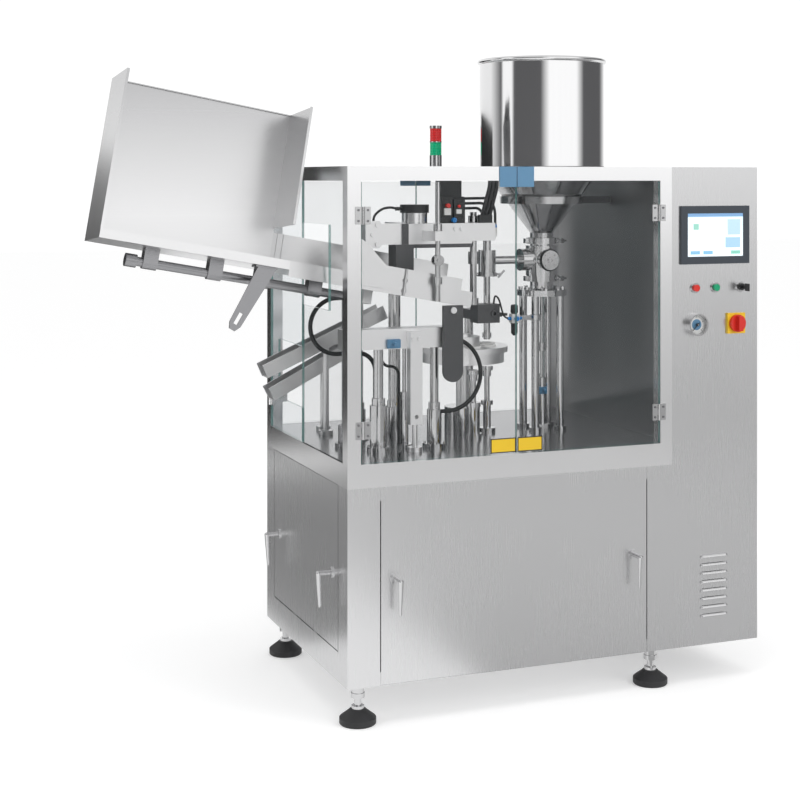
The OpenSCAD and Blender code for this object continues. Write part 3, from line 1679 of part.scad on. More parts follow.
module drive_unit() {
    under = z_deck - deck_t;
    half = index_w / 2;
    gear_left = cam_x - gear_w / 2;
    gear_right = cam_x + gear_w / 2;
    motor_y = gear_y + gear_l / 2;
    color("slategray") placed() {
        difference() {
            block([table_x - half, line_y - half, index_low], [table_x + half, line_y + half, under]);
            rod_z(table_x, line_y, under - shaft_down - 2, under + 1, shaft_d + run_gap * 2);
            rod_y(cam_x, line_y - half - 1, line_y + half + 1, cam_z, cam_shaft_d + run_gap * 2);
        }
        difference() {
            union() {
                block([gear_left, gear_y, cam_z - gear_h / 2],
                    [gear_right, gear_y + gear_l, cam_z + gear_h / 2]);
                block([gear_left + stand_in, gear_y + stand_in, foot_h + skin],
                    [gear_right - stand_in, gear_y + gear_l - stand_in, cam_z]);
                rod_x(gear_left - motor_l, cam_x, motor_y, cam_z, motor_d);
                rod_x(gear_left - motor_l, gear_left - motor_l + motor_cap,
                    motor_y, cam_z, motor_d + motor_cap_w * 2);
            }
            rod_y(cam_x, gear_y - 1, gear_y + gear_bore, cam_z, cam_shaft_d + run_gap * 2);
        }
    }
}

module cam_shaft() {
    color("gainsboro") placed() {
        rod_y(cam_x, front_y - cam_over, gear_y + gear_bore - 1, cam_z, cam_shaft_d);
        for (y = [front_y, fill_cam_y])
            rod_y(cam_x - cam_throw, y - cam_t / 2, y + cam_t / 2, cam_z, cam_r * 2);
    }
}

base_frame();
deck_plate();
front_panel();
left_panel();
foot_stems();
foot_pads();
upper_frame();
left_side_glass();
control_tower();
control_fascia();
hmi_bezel();
hmi_screen();
panel_bezels();
stop_button();
start_button();
key_switch();
gauge_needle();
switch_plate();
main_knob();
signal_mast();
green_lens();
red_lens();
hopper();
pipe_clamps();
valve_body();
valve_rotor();
pump_stand();
pump_piston();
nozzle_body();
nozzle_stem();
nozzle_actuator();
turntable();
tube_cups();
front_lifter();
fill_lifter();
deck_columns();
machine_beams();
dark_brackets();
upper_devices();
pusher_rod();
press_spindle();
tube_flap();
magazine_tray();
feed_channel();
magazine_support();
discharge_chutes();
hoses();
front_left_glass();
front_left_fittings();
front_right_glass();
front_right_fittings();
rear_left_door();
rear_right_door();
left_door();
front_latch_left();
front_latch_right();
side_latch_front();
side_latch_rear();
drive_unit();
cam_shaft();
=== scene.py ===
# %% [markdown]
# # Tube filling machine
# A free-standing machine in brushed stainless steel: a base cabinet on four feet, a glazed working
# chamber, a control tower on the right and a sloped tube magazine on the left. The solids come packed
# from the CAD step and stay where they are. This notebook gives them their finishes and adds the fine
# fittings on top.

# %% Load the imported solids
import json
import math

import bmesh
import bpy
from mathutils import Matrix, Vector

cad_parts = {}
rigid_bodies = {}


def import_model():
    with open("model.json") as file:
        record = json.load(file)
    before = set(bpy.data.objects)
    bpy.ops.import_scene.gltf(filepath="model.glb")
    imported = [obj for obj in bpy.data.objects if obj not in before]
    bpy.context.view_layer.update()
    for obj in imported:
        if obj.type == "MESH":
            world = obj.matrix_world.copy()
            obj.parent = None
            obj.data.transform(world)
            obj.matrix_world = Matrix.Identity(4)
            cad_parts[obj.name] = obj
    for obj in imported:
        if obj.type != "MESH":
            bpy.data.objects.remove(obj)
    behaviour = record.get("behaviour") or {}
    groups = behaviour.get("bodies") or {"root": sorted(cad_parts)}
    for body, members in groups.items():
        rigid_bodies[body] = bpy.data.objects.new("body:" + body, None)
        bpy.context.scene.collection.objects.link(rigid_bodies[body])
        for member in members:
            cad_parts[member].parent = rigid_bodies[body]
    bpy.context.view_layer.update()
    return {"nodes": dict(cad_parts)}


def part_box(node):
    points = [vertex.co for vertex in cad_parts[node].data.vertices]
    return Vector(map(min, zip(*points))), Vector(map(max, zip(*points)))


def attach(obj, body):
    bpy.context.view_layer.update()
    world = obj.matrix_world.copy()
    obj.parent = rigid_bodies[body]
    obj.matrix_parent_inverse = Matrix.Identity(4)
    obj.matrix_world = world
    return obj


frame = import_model()
nodes = frame["nodes"]

# %% [markdown]
# ## Camera
# The viewpoint was worked out by fitting straight edges of the cabinet. It looks level, so upright posts
# stay upright in the picture, and the lens is shifted down, as an architect's camera would be, to take in
# the feet.

# %% Camera
CAMERA_PLACE = (-1.5495, -4.2854, 1.6105)
CAMERA_YAW = -21.452
camera_data = bpy.data.cameras.new("camera")
camera_data.lens = 69.26
camera_data.shift_y = -0.2764
camera_data.clip_end = 60
camera = bpy.data.objects.new("camera", camera_data)
camera.location = CAMERA_PLACE
camera.rotation_euler = (math.radians(90), 0, math.radians(CAMERA_YAW))
bpy.context.scene.collection.objects.link(camera)
bpy.context.scene.camera = camera
print("camera at", CAMERA_PLACE)

# %% [markdown]
# ## A small language for shaders
# Finishes are sums of a few noises. Writing those sums as node links is long, so one small class wraps a
# socket: adding or multiplying two of them adds the Math node. Every other node comes from one method
# that takes the node's type, its settings and the values of its sockets.

# %% Shader helper
class Value:
    """A number socket that can be used in sums."""

    def __init__(self, shade, socket):
        self.shade = shade
        self.socket = socket

    def maths(self, operation, a, b=0.0):
        return self.shade.node("ShaderNodeMath", {"operation": operation}, {0: a, 1: b})

    def __add__(self, other):
        return self.maths("ADD", self, other)

    __radd__ = __add__

    def __mul__(self, other):
        return self.maths("MULTIPLY", self, other)

    __rmul__ = __mul__

    def __sub__(self, other):
        return self.maths("SUBTRACT", self, other)

    def __rsub__(self, other):
        return self.maths("SUBTRACT", other, self)

    def size(self):
        return self.maths("ABSOLUTE", self)

    def above(self, level):
        return self.maths("GREATER_THAN", self, level)

    def below(self, level):
        return self.maths("LESS_THAN", self, level)

    def clamped(self, low, high):
        """This value's stretch from low to high, as 0 to 1."""
        sockets = {0: self, 1: low, 2: high, 3: 0.0, 4: 1.0}
        return self.shade.node("ShaderNodeMapRange", {"clamp": True}, sockets)


class Shade:
    """Builds one material, or the world, node by node."""

    def __init__(self, owner):
        owner.use_nodes = True
        self.tree = owner.node_tree
        self.tree.nodes.clear()

    def node(self, kind, settings=None, sockets=None, output=0):
        made = self.tree.nodes.new(kind)
        for key, value in (settings or {}).items():
            setattr(made, key, value)
        for key, value in (sockets or {}).items():
            if isinstance(value, Value):
                self.tree.links.new(value.socket, made.inputs[key])
            elif isinstance(value, tuple) and made.inputs[key].type == "RGBA":
                made.inputs[key].default_value = (*value, 1.0)
            else:
                made.inputs[key].default_value = value
        return Value(self, made.outputs[output]) if made.outputs else None

    def parts(self, vector):
        """The three numbers of a vector."""
        split = self.node("ShaderNodeSeparateXYZ", None, {0: vector}).socket.node
        return [Value(self, split.outputs[i]) for i in range(3)]

    def place(self):
        """Object coordinates of the surface."""
        return self.node("ShaderNodeTexCoord", output=3)

    def axes(self):
        return self.parts(self.place())

    def normal(self):
        """The three numbers of the surface's own normal."""
        return self.parts(self.node("ShaderNodeTexCoord", output=1))

    def noise(self, scale, detail=3.0, stretch=(1.0, 1.0, 1.0)):
        where = self.node("ShaderNodeMapping", None, {"Vector": self.place(), "Scale": stretch})
        return self.node("ShaderNodeTexNoise", None, {"Vector": where, "Scale": scale, "Detail": detail})

    def mix(self, factor, a, b):
        return self.node("ShaderNodeMix", {"data_type": "RGBA"}, {0: factor, 6: a, 7: b}, output=2)

    def bump(self, height, strength, distance):
        sockets = {"Height": height, "Strength": strength, "Distance": distance}
        return self.node("ShaderNodeBump", None, sockets)

    def principled(self, **sockets):
        named = {key.replace("_", " "): value for key, value in sockets.items()}
        return self.node("ShaderNodeBsdfPrincipled", None, named)

    def either(self, factor, a, b):
        return self.node("ShaderNodeMixShader", None, {0: factor, 1: a, 2: b})

    def out(self, surface, kind="ShaderNodeOutputMaterial"):
        self.node(kind, None, {"Surface": surface})


def new_shade(name):
    material = bpy.data.materials.new(name)
    return material, Shade(material)


print("shader helper ready")

# %% [markdown]
# ## Stainless steel
# Sheet steel is brushed in one direction, so its noise is stretched along the grain until it becomes fine
# hair lines. They change the roughness a little and the colour even less, with a slow cloud of handling
# marks over them. Turned pieces use the same recipe with less roughness.

# %% Steel finishes
HAIR_LINES = 420.0
HAIR_STRETCH = 0.012
HAIR_BUMP = 0.009
HAIR_SHARE = 0.6
HAIR_ROUGH = 0.04
CLOUD_SCALE = 2.6
CLOUD_SHARE = 0.4
CLOUD_ROUGH = 0.05
DARKEST = 0.94
GRAIN_DEPTH = 0.0003
STEEL_TONE = (0.69, 0.69, 0.696)
BRIGHT_TONE = (0.76, 0.76, 0.765)
TURNED_TONE = (0.62, 0.62, 0.625)
TOWER_TONE = (0.5, 0.5, 0.507)
SHEET_TONE = (0.7, 0.7, 0.705)
BAR_TONE = (0.3, 0.3, 0.31)
SHADED_SCREW_TONE = (0.26, 0.26, 0.27)
ALLOY_TONE = (0.9, 0.9, 0.905)


def steel_surface(shade, tone, rough, grain, lines=HAIR_LINES):
    """Brushed steel; grain is the axis the hair lines run along."""
    stretch = [1.0, 1.0, 1.0]
    stretch["xyz".index(grain)] = HAIR_STRETCH
    hair = shade.noise(lines, 2.0, tuple(stretch))
    cloud = shade.noise(CLOUD_SCALE, 2.0)
    bright = hair * HAIR_SHARE + cloud * CLOUD_SHARE
    dark = tuple(c * DARKEST for c in tone)
    return shade.principled(
        Base_Color=shade.mix(bright, dark, tone), Metallic=1.0,
        Roughness=rough + (hair - 0.5) * HAIR_ROUGH + (cloud - 0.5) * CLOUD_ROUGH,
        Normal=shade.bump(hair, HAIR_BUMP, GRAIN_DEPTH))


def steel(name, tone, rough, grain, lines=HAIR_LINES):
    material, shade = new_shade(name)
    shade.out(steel_surface(shade, tone, rough, grain, lines))
    return material


sheet_upright = steel("steel sheet, upright grain", STEEL_TONE, rough=0.27, grain="z")
turned_steel = steel("turned steel", TURNED_TONE, rough=0.11, grain="x")
tower_steel = steel("tower sheet, grain along the depth", TOWER_TONE, rough=0.3, grain="y")
bright_sheet = steel("bright sheet", SHEET_TONE, rough=0.3, grain="x")
dark_steel = steel("dark bar steel", BAR_TONE, rough=0.28, grain="x")
# The hinge screws are polished stainless; their dark grey is painted shade, for the dark dots they make on
# the leaves.
shaded_screw_steel = steel("screw steel with painted shade", SHADED_SCREW_TONE, rough=0.3, grain="x")
milled_alloy = steel("milled alloy", ALLOY_TONE, rough=0.36, grain="x", lines=340.0)
print("steel finishes: 7")

# %% [markdown]
# Four steel solids change their finish within one mesh, and the darker steel in each is painted shade: the
# deck's top is painted darker than its satin rim, the magazine sheet is darkened towards its top by a
# painted reflection, the upper frame's hinge leaves are painted darker for the shadow gaps round them and
# the hopper's cone is painted darker as a reflection of what lies under it. Cutting the meshes apart would
# open them, so a step in the normal, or a step or slope in the position, mixes two steels.

# %% Steel solids with two finishes and painted shade
SHADED_CONE_TONE = (0.5, 0.5, 0.505)
FRAME_TONE = (0.86, 0.86, 0.865)
SHADED_LEAF_TONE = (0.55, 0.55, 0.555)
TRAY_SHADE_TONE = (0.46, 0.46, 0.466)
DECK_SHADE_TONE = (0.4, 0.4, 0.41)
HOPPER_LINES = 180.0
HOPPER_WALL = 0.358
# The magazine sheet's painted reflection starts this far above its lowest point and is full this far below
# its highest
TRAY_SHADE_START = 0.18
TRAY_SHADE_FULL = 0.05
PROUD = 0.0008


def deck_finish():
    """Painted shade on the deck's top, darker than the bright satin of the folded rim below it, the same
    sheet.
    """
    material, shade = new_shade("steel deck")
    upward = shade.normal()[2].above(0.5)
    rim = steel_surface(shade, FRAME_TONE, rough=0.22, grain="x")
    # The top's darker tone is painted shade; the sheet is the same steel as the rim.
    top = steel_surface(shade, DECK_SHADE_TONE, rough=0.19, grain="x")
    shade.out(shade.either(upward, rim, top))
    return material


def tray_finish():
    """Bright sheet with a painted reflection, darker from a little above its lowest to a little below its
    highest.
    """
    material, shade = new_shade("magazine sheet")
    low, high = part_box("magazine_tray")
    height = shade.axes()[2].clamped(low.z + TRAY_SHADE_START, high.z - TRAY_SHADE_FULL)
    bright = steel_surface(shade, BRIGHT_TONE, rough=0.3, grain="x")
    # Painted reflection: the upper part of the sheet takes a darker copy of its steel.
    shaded_top = steel_surface(shade, TRAY_SHADE_TONE, rough=0.24, grain="x")
    shade.out(shade.either(height, bright, shaded_top))
    return material


def frame_finish():
    """Satin posts and beams, with hinge leaves painted darker where the solid stands proud of its front."""
    material, shade = new_shade("satin frame tube")
    leaf = shade.axes()[1].below(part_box("base_frame")[0].y - PROUD)
    tube = steel_surface(shade, FRAME_TONE, rough=0.22, grain="z")
    # Painted shade: the leaves are the frame's steel, darkened for the shadow gaps that outline them.
    dark = steel_surface(shade, SHADED_LEAF_TONE, rough=0.2, grain="z")
    shade.out(shade.either(leaf, tube, dark))
    return material


def hopper_finish():
    """Bright rolled sheet above; the cone below it is satin, painted darker as a painted reflection."""
    material, shade = new_shade("rolled hopper steel")
    cone = shade.axes()[2].below(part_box("hopper")[1].z - HOPPER_WALL)
    wall = steel_surface(shade, BRIGHT_TONE, rough=0.09, grain="z", lines=HOPPER_LINES)
    # The cone is the same steel; its darker tone is a painted reflection of the dim deck and chamber under
    # it.
    below = steel_surface(shade, SHADED_CONE_TONE, rough=0.12, grain="z", lines=HOPPER_LINES)
    shade.out(shade.either(cone, wall, below))
    return material


deck_steel = deck_finish()
tray_steel = tray_finish()
frame_steel = frame_finish()
rolled_steel = hopper_finish()
print("steel solids with two finishes: 4")

# %% [markdown]
# ## Plastics, rubber, paint and glass
# Moulded plastic is never quite even: a fine grain breaks its gloss and a slow noise shifts its colour.
# Rubber and paint are the same recipe with a coarser and deeper grain.

# %% Moulded and painted finishes
FINE_GRAIN = 900.0
PAINT_GRAIN = 500.0
GRAIN_ROUGH = 0.14
SLOW_SCALE = 9.0
GLOSS_DRIFT = 0.08
BLACK = (0.02, 0.02, 0.022)
STEEL_BLUE = (0.115, 0.27, 0.44)
DARK_GREY = (0.085, 0.085, 0.09)


def moulded_surface(shade, colour, rough, grain=FINE_GRAIN, bump=0.05, shift=0.12, drift=0.0):
    """Moulded plastic; shift darkens its deep spots and drift lets the gloss wander with them."""
    fine = shade.noise(grain, 2.0)
    slow = shade.noise(SLOW_SCALE, 2.0)
    deep = tuple(c * (1.0 - shift) for c in colour)
    return shade.principled(
        Base_Color=shade.mix(slow, deep, colour), Normal=shade.bump(fine, bump, GRAIN_DEPTH),
        Roughness=rough + (fine - 0.5) * GRAIN_ROUGH + (slow - 0.5) * drift)


def moulded(name, colour, rough, grain=FINE_GRAIN, bump=0.05, shift=0.12):
    material, shade = new_shade(name)
    shade.out(moulded_surface(shade, colour, rough, grain, bump, shift, GLOSS_DRIFT))
    return material


black_rubber = moulded("black rubber", (0.028, 0.028, 0.03), rough=0.55, grain=700.0, bump=0.12)
black_plastic = moulded("black plastic", BLACK, rough=0.38)
bezel_plastic = moulded("screen frame plastic", (0.045, 0.055, 0.07), rough=0.35)
blue_plastic = moulded("blue plastic", STEEL_BLUE, rough=0.3)
bright_blue = moulded("bright blue plastic", (0.01, 0.2, 0.55), rough=0.3)
red_plastic = moulded("red plastic", (0.72, 0.03, 0.02), rough=0.28)
green_plastic = moulded("green plastic", (0.0, 0.36, 0.16), rough=0.28)
yellow_plastic = moulded("yellow plastic", (0.92, 0.6, 0.02), rough=0.34)
white_plastic = moulded("white plastic", (0.82, 0.82, 0.81), rough=0.36)
dark_paint = moulded("dark grey paint", DARK_GREY, rough=0.38, grain=PAINT_GRAIN, bump=0.08, shift=0.2)
machine_paint = moulded("drive housing paint", (0.25, 0.28, 0.3), rough=0.45, grain=PAINT_GRAIN, bump=0.1,
                        shift=0.15)
print("moulded and painted finishes: 11")

# %% [markdown]
# The panes are clear sheets. A glass shader would bend the light at both faces and needs many light
# paths, so each pane is mostly alpha instead, with a green tint on its cut edges and a faint smear in its
# gloss.

# %% Glass
CLEAR_TINT = (0.06, 0.08, 0.08)
PALE_TINT = (0.66, 0.78, 0.84)
EDGE_TINT = (0.16, 0.34, 0.32)
EDGE_ALPHA = 0.75
PANE_ROUGH = 0.02
SMEAR_SCALE = 5.0
SMEAR_ROUGH = 0.04
SMEAR_ALPHA = 0.02


def pane_surface(shade, across, clear, tint):
    """Glass of a pane; across is the axis through it, clear its alpha and tint its own faint colour."""
    flat = shade.normal()["xyz".index(across)].size().above(0.5)
    smear = shade.noise(SMEAR_SCALE, 3.0)
    return shade.principled(
        Base_Color=shade.mix(flat, EDGE_TINT, tint), Roughness=PANE_ROUGH + smear * SMEAR_ROUGH,
        Alpha=EDGE_ALPHA - flat * (EDGE_ALPHA - clear) + flat * (smear - 0.5) * SMEAR_ALPHA)


def pane(name, across, clear, tint):
    material, shade = new_shade(name)
    shade.out(pane_surface(shade, across, clear, tint))
    return material


front_pane = pane("front door glass", "y", clear=0.05, tint=CLEAR_TINT)
side_pane = pane("side glass", "x", clear=0.08, tint=CLEAR_TINT)
print("glass finishes: 2")

# %% [markdown]
# More solids hold two finishes or three: the panes of the rear and left doors with their hinge leaves and
# pull plates, the leaves and pull plates of the front doors, the devices on the upper beam and the dark
# brackets. Their meshes stay whole too, so the change of finish is a step in the position.

# %% Solids with two finishes
Z_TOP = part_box("upper_frame")[1].z
PULL_H = 0.062
PULL_MARGIN = 0.004
PULL_LOW = Z_TOP - PULL_H - PULL_MARGIN
FITTING_OUT = 0.009
REAR_PANE_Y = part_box("rear_left_door")[1].y - FITTING_OUT
LEFT_PANE_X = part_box("left_door")[0].x + FITTING_OUT
PANE_STEP = 0.0002
CAN_RIGHT = 0.345
CAN_TOP = 1.503
SADDLE_RIGHT = 0.925
SADDLE_LOW = 1.51


def leaf_surface(shade, height, tone, rough):
    """Steel of the hinge leaves, and blue plastic on the pull plate above them."""
    leaf = steel_surface(shade, tone, rough, "z")
    return shade.either(height.above(PULL_LOW), leaf, moulded_surface(shade, STEEL_BLUE, rough=0.3))


def door_fitting_finish():
    material, shade = new_shade("hinge steel and pull plate")
    # The front doors' leaves take the same painted shade as the frame's leaves.
    shade.out(leaf_surface(shade, shade.axes()[2], SHADED_LEAF_TONE, 0.2))
    return material


def door_finish(name, across, edge):
    """Pane of a rear or left door with its leaves, which stand proud of it on its outer side, at edge."""
    material, shade = new_shade(name)
    x, y, z = shade.axes()
    proud = y.above(edge + PANE_STEP) if across == "y" else x.below(edge - PANE_STEP)
    leaf = leaf_surface(shade, z, BRIGHT_TONE, 0.24)
    glass = pane_surface(shade, across, clear=0.10, tint=PALE_TINT)
    shade.out(shade.either(proud, glass, leaf))
    return material


def bracket_finish():
    """Dark paint, but bare steel on the saddle that rings the hopper's cone, carrying the cone's painted
    reflection.
    """
    material, shade = new_shade("dark brackets and steel saddle")
    x, _, z = shade.axes()
    saddle = x.below(SADDLE_RIGHT) * z.above(SADDLE_LOW)
    paint = moulded_surface(shade, DARK_GREY, rough=0.38)
    shade.out(shade.either(saddle, paint, steel_surface(shade, SHADED_CONE_TONE, rough=0.16, grain="x")))
    return material


def device_finish():
    """Black valve boxes and heater cap, with bright steel on the heater's can."""
    material, shade = new_shade("heater can and air valves")
    x, _, z = shade.axes()
    can = x.below(CAN_RIGHT) * z.below(CAN_TOP)
    box = moulded_surface(shade, BLACK, rough=0.36)
    shade.out(shade.either(can, box, steel_surface(shade, BRIGHT_TONE, rough=0.16, grain="x")))
    return material


door_fittings = door_fitting_finish()
rear_door = door_finish("rear door glass and leaves", "y", REAR_PANE_Y)
left_door = door_finish("left door glass and leaves", "x", LEFT_PANE_X)
devices = device_finish()
brackets = bracket_finish()
print("solids with two finishes: 5 finishes")

# %% [markdown]
# ## Screen and lenses
# The touch panel shows a calm page of plain blocks, with no words, and glows a little. The lamp lenses
# are ribbed plastic: the ribs are a wave along their height, in the bump and as painted shade in the
# colour, which is lighter than cutting them into the mesh.

# %% Screen and lenses
screen_lo, screen_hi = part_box("hmi_screen")
PAGE_LOW = (0.78, 0.87, 0.93)
PAGE_HIGH = (0.62, 0.78, 0.9)
SCREEN_GLOW = 0.55
LENS_RIBS = 1100.0
LENS_GLOW = 0.12
# Blocks of the page: left, right, low and high as shares of the screen, and a colour
BLOCKS = (
    ((0.0, 1.0, 0.92, 1.0), (0.16, 0.3, 0.5)),
    ((0.05, 0.3, 0.5, 0.86), (0.86, 0.93, 0.96)),
    ((0.10, 0.2, 0.62, 0.76), (0.25, 0.5, 0.42)),
    ((0.36, 0.66, 0.5, 0.86), (0.84, 0.9, 0.95)),
    ((0.72, 0.95, 0.5, 0.86), (0.4, 0.56, 0.7)),
    ((0.05, 0.62, 0.2, 0.44), (0.87, 0.93, 0.97)),
    ((0.68, 0.95, 0.2, 0.44), (0.32, 0.5, 0.66)),
    ((0.05, 0.22, 0.05, 0.13), (0.2, 0.42, 0.6)),
    ((0.28, 0.45, 0.05, 0.13), (0.2, 0.42, 0.6)),
    ((0.78, 0.95, 0.05, 0.13), (0.2, 0.5, 0.4)),
)


def block_mask(x, z, left, right, low, high):
    """1 inside a rectangle given as shares of the screen."""
    w = screen_hi.x - screen_lo.x
    h = screen_hi.z - screen_lo.z
    across = x.above(screen_lo.x + left * w) * x.below(screen_lo.x + right * w)
    return across * z.above(screen_lo.z + low * h) * z.below(screen_lo.z + high * h)


def screen_finish():
    material, shade = new_shade("touch panel page")
    x, _, z = shade.axes()
    page = shade.mix(z.clamped(screen_lo.z, screen_hi.z), PAGE_LOW, PAGE_HIGH)
    for sides, colour in BLOCKS:
        page = shade.mix(block_mask(x, z, *sides), page, colour)
    shade.out(shade.principled(
        Base_Color=page, Roughness=0.12, Emission_Color=page, Emission_Strength=SCREEN_GLOW))
    return material


def lens_finish(name, colour):
    material, shade = new_shade(name)
    rib = shade.node("ShaderNodeMath", {"operation": "SINE"}, {0: shade.axes()[2] * LENS_RIBS})
    # The lens is one colour; the darker part of each rib is painted shade of the rib's relief.
    tint = shade.mix(rib.clamped(-1.0, 1.0), tuple(c * 0.7 for c in colour), colour)
    shade.out(shade.principled(
        Base_Color=tint, Roughness=0.16, Emission_Color=tint, Emission_Strength=LENS_GLOW,
        Normal=shade.bump(rib, 0.25, 0.0006)))
    return material


screen_page = screen_finish()
red_lens = lens_finish("red lens", (0.8, 0.03, 0.03))
green_lens = lens_finish("green lens", (0.0, 0.55, 0.25))
print("screen and lenses ready")

# %% [markdown]
# ## Dressing the solids
# Each solid keeps its own mesh and takes one of the finishes above.

# %% Give each solid its finish
FINISHES = {
    sheet_upright: ["base_frame", "front_panel", "left_panel", "control_fascia"],
    tower_steel: ["control_tower"],
    frame_steel: ["upper_frame"],
    tray_steel: ["magazine_tray"],
    bright_sheet: ["feed_channel", "discharge_chutes"],
    dark_steel: ["magazine_support"],
    deck_steel: ["deck_plate"],
    rolled_steel: ["hopper"],
    turned_steel: [
        "pump_stand", "valve_body", "valve_rotor", "nozzle_body", "pipe_clamps",
        "pump_piston", "nozzle_stem", "deck_columns", "pusher_rod", "press_spindle",
        "front_lifter", "fill_lifter", "front_latch_left", "front_latch_right", "side_latch_front",
        "side_latch_rear", "signal_mast", "foot_stems", "cam_shaft", "panel_bezels",
    ],
    milled_alloy: ["machine_beams", "turntable"],
    front_pane: ["front_left_glass", "front_right_glass"],
    side_pane: ["left_side_glass"],
    rear_door: ["rear_left_door", "rear_right_door"],
    left_door: ["left_door"],
    door_fittings: ["front_left_fittings", "front_right_fittings"],
    devices: ["upper_devices"],
    black_rubber: ["foot_pads", "hoses"],
    black_plastic: ["key_switch", "gauge_needle"],
    bezel_plastic: ["hmi_bezel"],
    screen_page: ["hmi_screen"],
    red_plastic: ["stop_button", "main_knob"],
    green_plastic: ["start_button"],
    red_lens: ["red_lens"],
    green_lens: ["green_lens"],
    yellow_plastic: ["switch_plate"],
    white_plastic: ["nozzle_actuator", "tube_cups"],
    brackets: ["dark_brackets"],
    dark_paint: ["tube_flap"],
    machine_paint: ["drive_unit"],
}
for finish, names in FINISHES.items():
    for name in names:
        mesh = nodes[name].data
        mesh.materials.clear()
        mesh.materials.append(finish)
print("dressed:", sum(len(names) for names in FINISHES.values()), "of", len(nodes))

# %% [markdown]
# ## Places on the machine
# Added pieces are placed in millimetres from the cabinet's front left corner and from the top of the
# deck, which are read from the solids. Two small makers cover most shapes: a block with eased edges and a
# turned shape spun from an outline.

# %% Makers of small shapes
CORNER = Vector((*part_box("base_frame")[0].xy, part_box("deck_columns")[0].z))
TOP_H = (Z_TOP - CORNER.z) * 1000
FRONTWARD = (0, -1, 0)
UPWARD = (0, 0, 1)
SHARP_ANGLE = 35


def spot(x, y, h):
    return CORNER + Vector((x, y, h)) / 1000


def add_block(bm, low, high, edge=1.5):
    low, high = spot(*low), spot(*high)
    where = Matrix.Translation((low + high) / 2) @ Matrix.Diagonal((*(high - low), 1.0))
    made = bmesh.ops.create_cube(bm, size=1.0, matrix=where)["verts"]
    edges = list({e for v in made for e in v.link_edges})
    bmesh.ops.bevel(bm, geom=edges, offset=edge / 1000, segments=2, affect="EDGES", clamp_overlap=True)


def add_rings(bm, rings, hollow=False):
    """Skin over rings of equal count, closed at both ends, or back to the first ring where hollow."""
    loops = [[bm.verts.new(p) for p in ring] for ring in rings]
    count = len(loops[0])
    for a, b in zip(loops, loops[1:] + (loops[:1] if hollow else [])):
        for k in range(count):
            bm.faces.new((a[k], a[(k + 1) % count], b[(k + 1) % count], b[k]))
    if not hollow:
        bm.faces.new(list(reversed(loops[0])))
        bm.faces.new(loops[-1])


def ring_points(middle, u, v, radius, sides, ribs=0.0):
    """Points round a middle in the plane of u and v; ribs draws every second one inward."""
    points = []
    for k in range(sides):
        angle = 2 * math.pi * k / sides
        reach = (radius - ribs * (k % 2)) / 1000
        points.append(middle + (u * math.cos(angle) + v * math.sin(angle)) * reach)
    return points


def add_turned(bm, base, axis, outline, sides=32, ribs=0.0, hollow=False):
    """Spins an outline of (way along the axis, radius) pairs; ribs deepens every second side."""
    axis = Vector(axis)
    u = axis.orthogonal().normalized()
    v = axis.cross(u)
    rings = []
    for along, radius in outline:
        middle = spot(*base) + axis * (along / 1000)
        rings.append(ring_points(middle, u, v, radius, sides, ribs))
    add_rings(bm, rings, hollow)


def add_piece(name, body, material, make):
    bm = bmesh.new()
    make(bm)
    bmesh.ops.recalc_face_normals(bm, faces=bm.faces)
    mesh = bpy.data.meshes.new(name)
    bm.to_mesh(mesh)
    bm.free()
    mesh.materials.append(material)
    mesh.shade_smooth()
    mesh.set_sharp_from_angle(angle=math.radians(SHARP_ANGLE))
    piece = bpy.data.objects.new(name, mesh)
    bpy.context.scene.collection.objects.link(piece)
    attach(piece, body)
    print(name, "faces:", len(mesh.polygons))


print("corner of the cabinet at", [round(v, 3) for v in CORNER])

# %% [markdown]
# ## Screws and ticks
# A machine like this is held by many equal screws. Each kind is drawn once as a geometry node group, with
# its sizes as inputs, and set down on a cloud of points that carry their own turn. The result is made
# real and kept as a plain mesh, one for each moving part that carries it.

# %% Node groups for repeated parts
ROUND = 20
HEXAGON = 6


